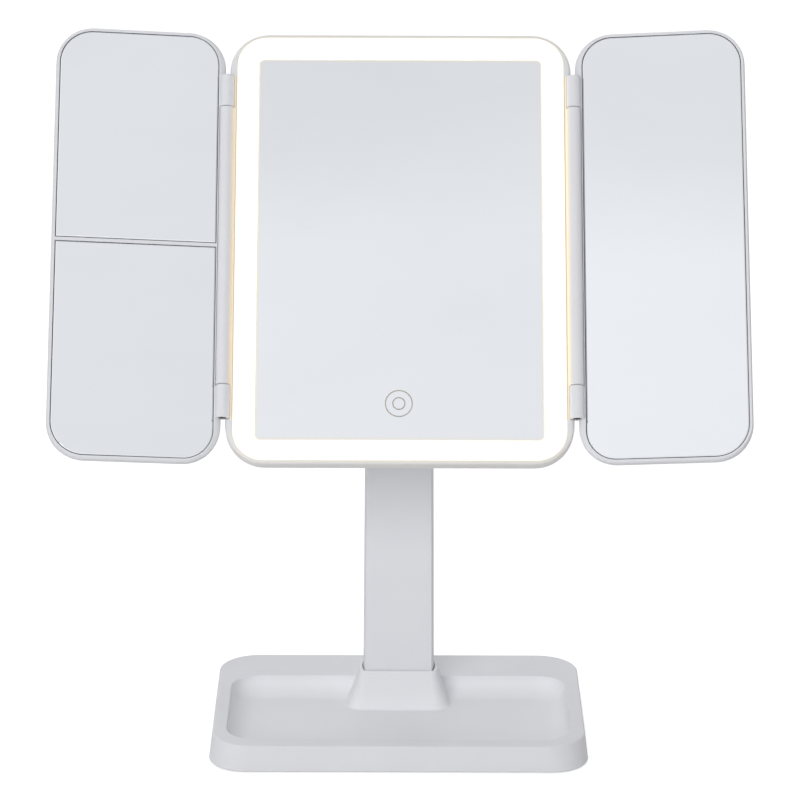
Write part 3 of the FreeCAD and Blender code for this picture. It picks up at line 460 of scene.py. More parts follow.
def paintedHollowLight(shader, spot, colour):
    # painted light: the hollow and its collar get a paler tone that stands in for the light
    # bouncing round the hollow
    parts = split(spot)
    share = None
    for reach, fade in shell["hollow"]:
        inside = shell["paintedLightShare"]
        for axis, (low, high) in reach.items():
            middle = calc("SUBTRACT", parts[axis], (low + high) / 2)
            half = (high - low) / 2
            within = remap(calc("ABSOLUTE", middle), half + fade, half)
            inside = calc("MULTIPLY", inside, within)
        share = calc("MAXIMUM", share, inside) if share else inside
    feed(shader, {"Base Color": mixColours(share, colour, shell["paintedLightTone"])})


def paintedBandGlow(shader, spot, colour):
    # painted light: a warm tint and an emission painted on the frame stand in for the band's light
    # through the thin wall beside the hinges, warming the barrels next to it, and spilling over the
    # rim above and below the band
    near = fromPanel(spot, "band")
    height = calc("ABSOLUTE", near["Up"])
    outside = calc("GREATER_THAN", near["Across"], paintedGlow["wallFrom"])
    beside = calc("MULTIPLY", outside, remap(height, *paintedGlow["wallEnds"]))
    above = remap(height, *paintedGlow["rimEnds"])
    light = (0, 0, 0, 1)
    for part, where in (("rim", above), ("barrel", beside), ("wall", beside), ("seam", beside)):
        fade, tint, shine = paintedGlow[part]
        mask = calc("MULTIPLY", where, remap(near["Distance"], *fade))
        colour = mixColours(mask, colour, tint)
        light = mixColours(mask, light, shine)
    feed(shader, {"Base Color": colour, "Emission Color": light, "Emission Strength": 1.0})


opal = {
    "skin": ((0.9, 0.89, 0.86), (0.87, 0.86, 0.83), 40, (0.28, 0.36), (1800, 0.000008)),
    "core": (1.0, 0.985, 0.95, 1),
    "edge": (0.46, 0.41, 0.30, 1),
    "edgeFade": (0.1, 1.7),
    "unevenScale": 55.0,
    "unevenness": (0.3, 0.7, 0.94, 1.0),
    "strength": 0.85,
}
glass = {
    "silver": (0.875, 0.898, 0.937, 1),
    "haze": (0.864, 0.886, 0.922, 1),
    # painted light: the tone laid on the glass's edge beside the band
    "paintedEdgeLight": (0.892, 0.889, 0.892, 1),
    "edgeFade": (-2.0, -1.0),
    "gloss": (0.012, 0.05),
    "wipes": (1, 0.3, 2.6),
    "hazeScale": 14.0,
    "hazeFade": (0.45, 0.75),
    "rippleScale": 35.0,
    "ripple": 0.0000006,
}


def lightFromBehind(shader, spot, colour):
    # even light, dimmer and warmer where the sheet ends
    sides = [calc("MULTIPLY", fromPanel(spot, panel)["Distance"], sign)
             for panel, sign in (("band", -1.0), ("glass", 1.0))]
    edge = remap(calc("MINIMUM", *sides), *opal["edgeFade"])
    unevenness = remap(noise(spot, opal["unevenScale"], 1.0), *opal["unevenness"])
    light = mixColours(calc("MULTIPLY", edge, unevenness), opal["edge"], opal["core"])
    feed(shader, {"Emission Color": light, "Emission Strength": opal["strength"]})


def makeMirrorGlass(name, besideBand=False):
    # silvered glass with faint wipe marks; near the band a warmer tone is painted on its edge for
    # the band's light on the cut edge
    material, _, shader, spot = startMaterial(name, Metallic=1.0)
    wipes = vectorMaths("MULTIPLY", spot, glass["wipes"])
    haze = remap(noise(wipes, glass["hazeScale"]), *glass["hazeFade"])
    colour = mixColours(haze, glass["silver"], glass["haze"])
    if besideBand:
        zone = remap(fromPanel(spot, "glass")["Distance"], *glass["edgeFade"])
        colour = mixColours(zone, colour, glass["paintedEdgeLight"])
    ripple = bumpFrom(noise(spot, glass["rippleScale"], 1.0), glass["ripple"])
    feed(shader, {"Base Color": colour, "Roughness": remap(haze, 0, 1, *glass["gloss"]),
                  "Normal": ripple})
    return material


touchSkin = ((0.50, 0.46, 0.42), (0.42, 0.38, 0.35), 300, (0.4, 0.6), (3000, 0.000005))
plainSkins = {  # the skins of the inner and small pieces
    "foot_rubber": ((0.62, 0.62, 0.64), (0.55, 0.55, 0.57), 90, (0.55, 0.75), (1400, 0.00004)),
    "plated_steel": ((0.60, 0.61, 0.63), (0.50, 0.51, 0.54), 120, (0.28, 0.45), (2200, 0.00001)),
    "bright_steel": ((0.72, 0.72, 0.74), (0.62, 0.62, 0.64), 80, (0.18, 0.32), (3000, 0.000006)),
    "painted_steel": ((0.79, 0.79, 0.82), (0.74, 0.74, 0.77), 45, (0.34, 0.48), (1500, 0.00003)),
    "inner_plastic": ((0.80, 0.80, 0.79), (0.74, 0.74, 0.73), 35, (0.45, 0.6), (2400, 0.00002)),
    "dark_plastic": ((0.035, 0.035, 0.038), (0.06, 0.06, 0.063), 60, (0.38, 0.55), (2000, 0.00002)),
    "white_board": ((0.82, 0.82, 0.79), (0.76, 0.76, 0.73), 70, (0.2, 0.35), (900, 0.00001)),
    "led_phosphor": ((0.86, 0.66, 0.16), (0.78, 0.56, 0.10), 400, (0.3, 0.45), (2500, 0.00001)),
    "copper_pad": ((0.72, 0.38, 0.22), (0.55, 0.28, 0.16), 150, (0.25, 0.5), (2500, 0.00001)),
    "circuit_board": ((0.015, 0.13, 0.05), (0.02, 0.18, 0.07), 260, (0.2, 0.4), (1200, 0.00002)),
    "cell_wrap": ((0.05, 0.052, 0.06), (0.09, 0.092, 0.1), 50, (0.2, 0.34), (1600, 0.000008)),
    "contact_metal": ((0.66, 0.65, 0.60), (0.56, 0.55, 0.50), 200, (0.22, 0.4), (2600, 0.000008)),
    "bearing_plastic": ((0.72, 0.72, 0.70), (0.64, 0.64, 0.62), 110, (0.4, 0.55), (1900, 0.00001)),
    "foam_tape": ((0.008, 0.009, 0.014), (0.15, 0.155, 0.17), 16, (0.85, 0.95), (1100, 0.00012)),
}
plainScuffs = (160, 0.26, 0.12)
metals = ("plated_steel", "bright_steel", "copper_pad", "contact_metal")

whiteShell = makeFinish("whiteShell", shell["skin"], shell["scuffs"])
# the tray's shell, with light painted paler into its hollow
trayShell = makeFinish("trayShell", shell["skin"], shell["scuffs"], paintedHollowLight)
# the frame, with the band's light painted on beside it
litShell = makeFinish("litShell", shell["skin"], shell["scuffs"], paintedBandGlow)
opalPanel = makeFinish("opalPanel", opal["skin"], effect=lightFromBehind)
mirrorGlass = makeMirrorGlass("mirrorGlass")
centreGlass = makeMirrorGlass("centreGlass", True)
touchInk = makeFinish("touchInk", touchSkin)
finishes = {slot: makeFinish(slot, skin, plainScuffs, Metallic=float(slot in metals))
            for slot, skin in plainSkins.items()}
finishes.update(white_shell=whiteShell, mirror_glass=mirrorGlass, opal_panel=opalPanel)
print("materials built")


tray = {
    "size": (200, 131, 23),
    "footCorner": 19,
    "footEdge": 0.5,
    "bottom": 1.2,
    "top": 15.1,
    "draft": 7,
    "edge": 1.1,
    "recess": (181.8, 87.7, 15.5),
    "recessMiddle": (0, -10.55),
    "floor": 5,
    "cove": (11.5, 9.3),  # how far it reaches in from the wall, and up it
    "lip": 0.45,
    "collar": (42.5, 19.1, 4),
    "collarTop": 26,
    "collarRoot": 1.5,
    "flareWide": 6.8,
    "flareDeep": 4,
    "flareBend": 1.45,
    "flareSteps": (16, 1.6, 0.97),  # how many, how they crowd at the foot, and how high they go
    "collarFoot": 1.2,
    "collarEdge": 0.7,
    "socket": (39.4, 17, 1.25),  # width, depth and how far its sides swell
    "socketBottom": 2.8,
    "under": (192, 123, 18),
    "underDepth": 1.6,
}


def swelledRing(width, depth, bulge, middle, steps=10):
    # flat front and back, and sides that swell between them
    shares = [2 * step / steps - 1 for step in range(steps + 1)]
    return [(middle[0] + side * (width / 2 - bulge * share ** 2),
             middle[1] + side * share * depth / 2) for side in (1, -1) for share in shares]


def makeCollar(middle):
    width, depth, corner = tray["collar"]
    foot, floor = tray["collarFoot"], tray["floor"]
    top, edge = tray["collarTop"], tray["collarEdge"]
    steps, crowding, highest = tray["flareSteps"]

    def ring(flare, sweep, level):
        wide, deep = tray["flareWide"] * flare + sweep, tray["flareDeep"] * flare + sweep
        return flat((width + 2 * wide, depth + 2 * deep, corner + deep), level, middle)

    rings = [ring(1, 0, floor - tray["collarRoot"])]
    for step in range(steps + 1):
        climb = (step / steps) ** crowding * highest
        rise = climb * (top - floor)
        sweep = foot - sqrt(foot ** 2 - max(foot - rise, 0) ** 2)
        rings.append(ring((1 - climb) ** tray["flareBend"], sweep, floor - rooted + rise))
    rings += roundOver(tray["collar"], top - edge, edge, 1, middle, steps=4)
    return loft("collar", rings, "XY")


def makeTray():
    middle = (0, placing["pivotY"] - placing["baseY"])
    size, bottom, top, edge = tray["size"], tray["bottom"], tray["top"], tray["edge"]
    lean, blunt = tan(radians(tray["draft"])), tray["footEdge"]
    foot = (*size[:2], tray["footCorner"])
    rings = stack(foot, ((bottom, blunt), (bottom + blunt, blunt * lean)))
    rings += roundOver(size, top - edge, edge, 1, inset=(top - edge - bottom) * lean)
    body = loft("trayMoulding", rings, "XY")

    recess, shift, lip = tray["recess"], tray["recessMiddle"], tray["lip"]
    reach, climb = tray["cove"]
    cove = [(tray["floor"] + climb * (1 - cos(angle)), reach * (1 - sin(angle)))
            for angle in quarterTurn(12)]
    rings = stack(recess, cove, shift)
    rings += roundOver(recess, top - lip, -lip, 1, shift, steps=3)
    carve(body, loft("recess", rings + [flat(recess, top + past, shift, -lip)], "XY"))

    fuse(body, makeCollar(middle))
    hole = swelledRing(*tray["socket"], middle)
    socket = loft("socket", [(hole, tray["socketBottom"]), (hole, tray["collarTop"] + past)], "XY")
    under = slab("under", tray["under"], bottom - past, bottom + tray["underDepth"], plane="XY")
    carve(body, socket, under)
    settle(body, "base", "white_shell", "base_tray", look=trayShell)


cover = {
    "size": (191.8, 122.8, 17.9),
    "low": 1.2,
    "high": 2.8,
    "edge": 0.3,
    "screws": [(side * 71, row) for side in (-1, 1) for row in (47.5, -57.8)],
    "stemScrews": [(side * 9, 22) for side in (-1, 1)],
    "headRadius": 2.3,
    "headHeight": 0.8,
}
feet = {
    "radius": 5.5,
    "spots": fourSpots(82, 50),
    "top": 1.8,
    "edge": 0.6,
    "play": 0.1,
    "cup": ((0.6, 0), (0.55, 0.12)),  # shares of the radius and their levels under the pad
    "cupMiddle": (0.3, 0.12),
}


def makeCover():
    plate = slab("bottomCover", cover["size"], cover["low"], cover["high"], plane="XY",
                 edge=cover["edge"])
    seats = rods(feet["radius"] + feet["play"], 0, feet["top"], feet["spots"])
    wells = rods(cover["headRadius"], 0, cover["low"] + cover["headHeight"],
                 cover["screws"] + cover["stemScrews"])
    carve(plate, gather("wells", seats + wells))
    settle(plate, "base", "white_shell", "base_bottom_cover")


def makeFeet():
    # soft pads, slightly hollow underneath so that they grip
    radius, edge = feet["radius"], feet["edge"]
    profile = [(radius, feet["top"])]
    profile += [(radius - edge * (1 - cos(angle)), edge * (1 - sin(angle)))
                for angle in quarterTurn(4)]
    profile += [(radius * share, level) for share, level in feet["cup"]] + [feet["cupMiddle"]]
    pads = [turned("pad", profile, middle=spot) for spot in feet["spots"]]
    settle(gather("rubberFeet", pads), "base", "foot_rubber", "base_feet")


makeTray()
makeCover()
makeFeet()
print("base built")


stem = {
    "shape": {
        "Bottom width": 38.7, "Top width": 34.9, "Depth": 16.0, "Bulge": 1.25, "Corner": 0.6,
        "Foot": 2.8, "Pivot height": placing["pivotZ"], "Top round": 7.9, "Rings": 30,
    },
    "seam": 0.12,
    "screwHeights": [placing["pivotZ"] * share for share in (0.25, 0.55, 0.85)],
    "screwWell": 2.35,
    "screwSunk": 0.8,
    "below": 0.4,  # the share of the rings that stand below the pivot; the rest turn over it
    "turn": 86,
}


def finishTree(tree, given, geometry):
    real = put(tree, "GeometryNodeRealizeInstances", {"Geometry": geometry})
    dressed = put(tree, "GeometryNodeSetMaterial",
                  {"Geometry": real, "Material": given["Material"]})
    put(tree, "NodeGroupOutput", {"Geometry": dressed})
    return tree


def setOnPoints(tree, given, item):
    turn = put(tree, "FunctionNodeAlignRotationToVector", {"Vector": given["Facing"]}, axis="Z")
    copies = put(tree, "GeometryNodeInstanceOnPoints",
                 {"Points": given["Geometry"], "Instance": item, "Rotation": turn})
    return finishTree(tree, given, copies)


def newShapeTree(name, sizes, **inputs):
    # the tree's inputs are the sizes that a user would change, and the material
    return newGroup(name, "GeometryNodeTree", {**inputs, **sizes, "Material": "Material"},
                    {"Geometry": "Geometry"})


def newPointsTree(name, sizes):
    return newShapeTree(name, sizes, Geometry="Geometry", Facing=(0.0, 0.0, 1.0))


def makeTaperedStem():
    # a rounded bar swept up the stem: its sides close in with height, and its top is round
    tree, given = newShapeTree("taperedStem", stem["shape"])
    bulges = calc("MULTIPLY", given["Bulge"], 2.0)
    narrow = calc("SUBTRACT", given["Bottom width"], bulges)
    section = put(tree, "GeometryNodeCurvePrimitiveQuadrilateral",
                  {"Width": narrow, "Height": given["Depth"]})
    divided = put(tree, "GeometryNodeSubdivideCurve", {"Curve": section, "Cuts": 9})
    # the sides swell between the flat front and back
    start = split(put(tree, "GeometryNodeInputPosition"))
    share = calc("DIVIDE", start["Y"], calc("MULTIPLY", given["Depth"], 0.5))
    swell = calc("SUBTRACT", 1.0, calc("MULTIPLY", share, share))
    gain = calc("MULTIPLY", calc("DIVIDE", bulges, narrow), swell)
    wider = calc("MULTIPLY", start["X"], calc("ADD", 1.0, gain))
    shaped = put(tree, "GeometryNodeSetPosition",
                 {"Geometry": divided, "Position": vectorOf(X=wider, Y=start["Y"])})
    rounded = put(tree, "GeometryNodeFilletCurve", {
        "Curve": shaped, "Count": 3, "Radius": given["Corner"], "Limit Radius": True}, mode="POLY")
    rail = put(tree, "GeometryNodeCurvePrimitiveLine", {"Start": (0, 0, 0), "End": (0, 0, 1)})
    dense = put(tree, "GeometryNodeResampleCurve", {"Curve": rail, "Count": given["Rings"]})
    swept = put(tree, "GeometryNodeCurveToMesh",
                {"Curve": dense, "Profile Curve": rounded, "Fill Caps": True})
    here = split(put(tree, "GeometryNodeInputPosition"))
    climb = remap(here["Z"], 0.0, stem["below"], given["Foot"], given["Pivot height"])
    turn = remap(here["Z"], stem["below"], 1.0, 0.0, radians(stem["turn"]))
    over = calc("MULTIPLY", calc("SINE", turn), given["Top round"])
    height = calc("ADD", climb, over)
    top = calc("ADD", given["Pivot height"], given["Top round"])
    narrowing = calc("DIVIDE", given["Top width"], given["Bottom width"])
    closeIn = remap(height, given["Foot"], top, 1.0, narrowing)
    across = calc("MULTIPLY", here["X"], closeIn)
    deep = calc("MULTIPLY", here["Y"], calc("COSINE", turn))
    return finishTree(tree, given, put(tree, "GeometryNodeSetPosition", {
        "Geometry": swept, "Position": vectorOf(X=across, Y=deep, Z=height)}))


def growFrom(name, tree, values, material, spots=()):
    # runs a tree on the spots and keeps the result as a plain mesh
    bm = bmesh.new()
    for spot in spots:
        bm.verts.new(spot)
    piece = pieceFrom(name, bm)
    modifier = piece.modifiers.new(name, "NODES")
    modifier.node_group = tree
    sockets = {item.name: item.identifier for item in tree.interface.items_tree
               if item.in_out == "INPUT"}
    for label, value in {**values, "Material": material}.items():
        modifier[sockets[label]] = value
    bakeModifiers(piece)
    bm = bmesh.new()
    bm.from_mesh(piece.data)
    bmesh.ops.remove_doubles(bm, verts=bm.verts, dist=weld)
    bmesh.ops.recalc_face_normals(bm, faces=bm.faces)
    bm.to_mesh(piece.data)
    bm.free()
    return piece


def halve(name, whole, side):
    # the half of a closed solid on one side of the seam plane
    bm = bmesh.new()
    bm.from_mesh(whole.data)
    geometry = bm.verts[:] + bm.edges[:] + bm.faces[:]
    cut = bmesh.ops.bisect_plane(bm, geom=geometry, plane_co=(0, side * stem["seam"] / 2, 0),
                                 plane_no=(0, side, 0), clear_inner=True)
    edges = [item for item in cut["geom_cut"] if isinstance(item, bmesh.types.BMEdge)]
    bmesh.ops.contextual_create(bm, geom=edges)
    return pieceFrom(name, bm)


def makeStem():
    whole = growFrom("stemBlank", makeTaperedStem(), stem["shape"], whiteShell)
    front = halve("stemFront", whole, -1)
    rear = halve("stemRear", whole, 1)
    bpy.data.objects.remove(whole)
    deep = stem["shape"]["Depth"] / 2
    spots = [(0, height) for height in stem["screwHeights"]]
    wells = rods(stem["screwWell"], deep - stem["screwSunk"], deep + past, spots, "XZ")
    carve(rear, gather("wells", wells))
    settle(front, "stem", "white_shell", "stem_front_shell")
    settle(rear, "stem", "white_shell", "stem_rear_shell")


makeStem()
print("stem built")


head = {
    "size": (178, 232.2, 20.5),
    "depth": 8,
    "edge": 1.7,
    "seam": 0.3,
    "band": (170.5, 228.3, 15.5),
    "bandGap": 0.1,
    "bandDepth": 2.2,
    "bandEdge": 0.25,
    "mouth": 0.15,  # the small bevel where the frame meets the band
    "ledge": 3,
    "glass": (147.2, 205.3, 2.5),
    "glassMiddle": (0, -0.8),
    "glassBevel": 0.35,
    "glassGap": 0.1,
}
hinge = {
    "barrelRadius": 3.7,
    "barrelHalf": 74.9,
    "barrelEdge": 0.35,
    "knuckleStart": 75.25,
    "knuckleEnd": 92.5,
    "knucklePlay": 0.35,
    "relief": 4,
}


def makeFrontFrame():
    size, band, depth = head["size"], head["band"], head["depth"]
    gap, mouth, seat, ledge = -head["bandGap"], head["mouth"], head["bandDepth"], head["ledge"]
    rings = stack(size, ((depth, head["seam"]), (depth - head["seam"], 0)))
    rings += roundOver(size, head["edge"], head["edge"], -1)
    rings += stack(band, ((0, gap - mouth), (mouth, gap), (seat, gap), (seat, ledge),
                          (depth, ledge)))
    body = loft("headFrame", rings, closed=True)
    start, end = hinge["barrelHalf"], hinge["knuckleEnd"] + hinge["knucklePlay"]
    axes = [(side * placing["hingeSpread"], -placing["hingeProud"]) for side in (-1, 1)]
    reliefs = [rod("relief", hinge["relief"], *ends, middle=axis)
               for axis in axes for ends in ((start, end), (-end, -start))]
    barrels = [rod("barrel", hinge["barrelRadius"], -start, start, middle=axis,
                   edge=hinge["barrelEdge"]) for axis in axes]
    carve(body, gather("reliefs", reliefs))
    fuse(body, gather("barrels", barrels))
    settle(body, "head", "white_shell", "head_front_frame", look=litShell)


def makeLightBand():
    band, sheet, depth, middle = head["band"], head["glass"], head["bandDepth"], head["glassMiddle"]
    edge, gap = head["bandEdge"], head["glassGap"]
    rings = [flat(band, depth)] + roundOver(band, edge, edge, -1, steps=3)
    rings += stack(sheet, ((0, -gap - edge), (edge, -gap), (depth, -gap)), middle)
    settle(loft("lightBand", rings, closed=True), "head", "opal_panel", "light_diffuser")


def makeCentreMirror():
    sheet, middle, bevel = head["glass"], head["glassMiddle"], head["glassBevel"]
    rings = stack(sheet, ((head["bandDepth"], 0), (bevel, 0), (0, bevel)), middle)
    mirror = loft("centreMirror", rings)
    settle(mirror, "head", "mirror_glass", "centre_mirror_glass", look=centreGlass)


touch = {
    "middle": (-0.5, -84.35),
    "radii": (7.15, 3.4),
    "line": 0.62,
    "proud": 0.03,
    "sunk": 0.05,
    "steps": 64,
}


def makeTouchMark():
    # the etched target that marks the touch switch
    sunk, proud, rings = touch["sunk"], -touch["proud"], []
    for outer in touch["radii"]:
        inner = outer - touch["line"]
        profile = [(outer, sunk), (outer, proud), (inner, proud), (inner, sunk)]
        rings.append(turned("ring", profile, "XZ", touch["middle"], touch["steps"], closed=True))
    settle(gather("touchMark", rings), "head", "inner_plastic", look=touchInk)


rear = {
    "depth": 5,
    "edge": 4.5,
    "plateau": (76, 112, 10),
    "plateauMiddle": (0, 20),
    "plateauDepth": 6,
    "plateauEdge": 2.5,
    "wall": 2,
    "door": (49.6, 54, 3),
    "doorMiddle": (0, 42.75),
    "doorGap": 0.3,
    "doorway": 4,
    "screws": fourSpots(76.8, 104.6) + fourSpots(62, 84),
    "screwWell": 2.35,
    "screwSunk": 0.8,
}
coverBack = head["depth"] + rear["depth"]
raisedBack = coverBack + rear["plateauDepth"]


def makeRearCover():
    size, low, wall, plateau = head["size"], head["depth"], rear["wall"], rear["plateau"]
    edge, foot, middle = rear["edge"], rear["plateauEdge"], rear["plateauMiddle"]
    rings = stack(size, ((low, head["seam"]), (low + head["seam"], 0)))
    body = loft("rearCover", rings + roundOver(size, coverBack - edge, edge, 1, steps=8))
    rings = [flat(plateau, coverBack - past, middle, -foot)]
    rings += roundOver(plateau, coverBack + foot - rooted, -foot, -1, middle)[::-1]
    fuse(body, loft("plateau", rings + roundOver(plateau, raisedBack - foot, foot, 1, middle)))
    hollow = slab("hollow", head["glass"], low - past, coverBack - wall, head["glassMiddle"])
    bay = slab("bay", shrink(plateau, wall), low - past, raisedBack - wall, middle)
    doorway = slab("doorway", shrink(rear["door"], -rear["doorGap"]), raisedBack - rear["doorway"],
                   raisedBack + past, rear["doorMiddle"])
    wells = rods(rear["screwWell"], coverBack - rear["screwSunk"], coverBack + past,
                 rear["screws"], "XZ")
    carve(body, hollow, bay, doorway, gather("wells", wells))
    settle(body, "head", "white_shell", "head_rear_cover")


door = {
    "thickness": 2,
    "edge": 0.35,
    "grooves": 4,
    "groovePitch": 2.4,
    "grooveWidth": 1,
    "grooveCorner": 0.49,
    "grooveSlope": 0.25,
    "grooveLength": 16,
    "grooveStep": 2,
    "grooveDepth": 0.6,
    "fromTop": 6,
}


def makeDoor():
    deep, middle = door["grooveDepth"], rear["doorMiddle"]
    plate = slab("batteryDoor", rear["door"], raisedBack - door["thickness"], raisedBack, middle,
                 edge=door["edge"])
    top = middle[1] + rear["door"][1] / 2 - door["fromTop"]
    grooves = []
    for index in range(door["grooves"]):
        length = door["grooveLength"] - index * door["grooveStep"]
        size = (length, door["grooveWidth"], door["grooveCorner"])
        levels = ((raisedBack - deep, door["grooveSlope"]), (raisedBack - deep / 2, 0),
                  (raisedBack + past, 0))
        grooves.append(loft("groove", stack(size, levels, (0, top - index * door["groovePitch"]))))
    carve(plate, gather("grooves", grooves))
    settle(plate, "door", "white_shell", "battery_door")


battery = {
    "cells": [(i - 1.5) * 11 for i in range(4)],
    "radius": 5.2,
    "length": 44.5,
    "rise": 42.75,
    "setback": 10.6,
    "button": (1.9, 1),  # radius and length
    "sleeve": ((0.9, 0.12), (0.3, 0.05), (0, 0.35)),  # how far in from its radius and from its end
    "capRadius": 4.3,
    "capSkirt": (0.5, 0.1),  # how far in from the end it starts, and where it turns over
    "capEdge": 0.3,
    "buttonEdge": 0.25,
    "tip": 0.2,  # the small ring that closes an end
    "holder": (47, 51.5, 1.5),
    "holderEdge": 0.3,
    "holderWall": 1.2,
    "holderFront": 3.7,
    "holderBack": 16.6,
    "roomCorner": 0.8,
    "cradle": 5.35,
    "plate": (7, 0.5, 0.8),  # a contact's width, thickness and corner
    "plateEdge": 0.1,
    "coil": {"Foot radius": 2.4, "Tip radius": 1.7, "Turns": 3.5, "Wire radius": 0.28},
}


def makeCells():
    # every second cell is the other way up
    wraps, ends = [], []
    radius, half, cap = battery["radius"], battery["length"] / 2, battery["capRadius"]
    button, top = battery["button"][0], half - battery["button"][1]
    edge, buttonEdge, tip = battery["capEdge"], battery["buttonEdge"], battery["tip"]
    start, turn = battery["capSkirt"]
    sleeve = [(radius - inset, drop - half) for inset, drop in battery["sleeve"]]
    sleeve += [(radius - inset, top - drop) for inset, drop in battery["sleeve"][::-1]]
    profiles = (
        (wraps, sleeve),
        (ends, [(cap, start - half), (cap, turn - half), (cap - edge, -half), (tip, -half)]),
        (ends, [(cap, top - start), (cap, top - turn), (button + edge, top), (button, top + edge),
                (button, half - buttonEdge), (button - buttonEdge, half), (tip, half)]),
    )
    for index, across in enumerate(battery["cells"]):
        up = -1 if index % 2 else 1
        for kept, profile in profiles:
            levels = [(size, battery["rise"] + up * level) for size, level in profile]
            kept.append(turned("cell", levels, middle=(across, battery["setback"]), steps=32))
    settle(gather("cellWraps", wraps), "head", "cell_wrap", "battery_cells")
    settle(gather("cellEnds", ends), "head", "contact_metal")


def makeHolder():
    rise, wall, back = battery["rise"], battery["holderWall"], battery["holderBack"]
    width, height = battery["holder"][:2]
    body = slab("batteryHolder", battery["holder"], battery["holderFront"], back, (0, rise),
                edge=battery["holderEdge"])
    carve(body, slab("room", (width - 2 * wall, height - 2 * wall, battery["roomCorner"]),
                     battery["setback"], back + past, (0, rise)))
    reach = height / 2 - wall
    for across in battery["cells"]:
        carve(body, rod("cradle", battery["cradle"], rise - reach, rise + reach,
                        middle=(across, battery["setback"])))
    settle(body, "head", "dark_plastic", "battery_holder")


def makeCoilSprings(sizes):
    # a tapered coil on every point, standing along one direction
    tree, given = newPointsTree("coilSprings", sizes)
    coil = put(tree, "GeometryNodeCurveSpiral", {
        "Resolution": 18, "Rotations": given["Turns"], "Start Radius": given["Foot radius"],
        "End Radius": given["Tip radius"], "Height": given["Height"]})
    wire = put(tree, "GeometryNodeCurvePrimitiveCircle",
               {"Resolution": 8, "Radius": given["Wire radius"]})
    tube = put(tree, "GeometryNodeCurveToMesh",
               {"Curve": coil, "Profile Curve": wire, "Fill Caps": True})
    return setOnPoints(tree, given, tube)


def makeContacts():
    # a plate at both ends of each cell, with a spring on the one under its flat end
    width, thickness, corner = battery["plate"]
    rise, setback, wire = battery["rise"], battery["setback"], battery["coil"]["Wire radius"]
    end = battery["holder"][1] / 2 - battery["holderWall"]
    inner = end - thickness
    parts = []
    for across in battery["cells"]:
        for low, high in ((rise - end, rise - inner), (rise + inner, rise + end)):
            parts.append(slab("plate", (width, width, corner), low, high, (across, setback), "XY",
                              edge=battery["plateEdge"]))
    sizes = {**battery["coil"], "Height": inner - battery["length"] / 2 - 2 * wire}
    springs = makeCoilSprings(sizes)
    for up, first in ((1, 0), (-1, 1)):
        spots = [(across, setback, rise - up * (inner - wire))
                 for across in battery["cells"][first::2]]
        parts.append(growFrom("springs", springs, {**sizes, "Facing": (0, 0, up)},
                              finishes["contact_metal"], spots))
    settle(gather("batteryContacts", parts), "head", "contact_metal", "battery_contacts")


makeFrontFrame()
makeLightBand()
makeCentreMirror()
makeTouchMark()
makeRearCover()
makeDoor()
makeHolder()
makeCells()
makeContacts()
print("head built")


bracket = {
    "plate": (62, 26, 4),
    "thickness": 2,
    "screws": fourSpots(26.5, 8.5),
    "screwHeight": 1.2,
    "earInner": 19.3,
    "earThickness": 2.5,
    "earMargin": 2,
    "eye": 7.5,
    "eyeSteps": 24,
    "edge": 0.4,
    "axle": 2.5,
    "axleHead": 4.2,
    "headLength": 2.4,
    "headDome": ((0.35, 1), (0.8, 0.9), (1, 0.45), (1, 0)),  # shares of its radius and length
    "nut": 4.6,
    "nutLength": 2.6,
    "nutEdges": (0.45, 0.35),
    "washer": 6,
    "washerThickness": 1.4,
    "washerEdge": 0.2,
}
turnAxis = (placing["pivotSetback"], 0)
earFaces = (bracket["earInner"], bracket["earInner"] + bracket["earThickness"])


def earOutline(inset):
    # straight cheeks from the plate that run tangent into the round eye
    eye = bracket["eye"] - inset
    foot = bracket["plate"][1] / 2 - bracket["earMargin"] - inset
    steps = bracket["eyeSteps"]
    turns = [radians(-90 + 180 * step / steps) for step in range(steps + 1)]
    ring = [(turnAxis[0] + eye * cos(turn), eye * sin(turn)) for turn in turns]
    return [(raisedBack, -foot), *ring, (raisedBack, foot)]


def makeBracket():
    body = slab("tiltBracket", bracket["plate"], raisedBack, raisedBack + bracket["thickness"],
                edge=bracket["edge"])
    ears = [loft("ear", [(earOutline(inset), side * level)
                         for level, inset in straightWall(*earFaces, bracket["edge"])], "YZ")
            for side in (-1, 1)]
    fuse(body, *ears)
    settle(body, "head", "painted_steel", "tilt_bracket")


def makeAxle():
    reach, nut, length = earFaces[1], bracket["nut"], bracket["nutLength"]
    big, small, cap = bracket["axleHead"], bracket["axle"], bracket["headLength"]
    profile = [(big * share, -reach - cap * high) for share, high in bracket["headDome"]]
    profile += [(small, -reach), (small, reach + length)]
    settle(turned("tiltAxle", profile, "YZ", turnAxis), "head", "bright_steel", "tilt_axle")
    inset, drop = bracket["nutEdges"]
    rings = [(circle(radius, turnAxis, 6), reach + level)
             for radius, level in ((nut, 0), (nut, length - drop), (nut - inset, length))]
    body = loft("axleNut", rings, "YZ")
    carve(body, rod("thread", small, reach - past, reach + length + past, "YZ", turnAxis))
    settle(body, "head", "bright_steel", "axle_nut")


def makeWashers():
    near, far = earFaces[0] - bracket["washerThickness"], earFaces[0]
    outer, inner, edge = bracket["washer"], bracket["axle"], bracket["washerEdge"]
    profile = [(inner, near), (outer - edge, near), (outer, near + edge), (outer, far),
               (inner, far)]
    washers = [turned("washer", [(radius, side * level) for radius, level in profile], "YZ",
                      turnAxis, closed=True) for side in (-1, 1)]
    settle(gather("frictionWashers", washers), "head", "bearing_plastic", "friction_washers")


makeBracket()
makeAxle()
makeWashers()
print("tilt joint built")


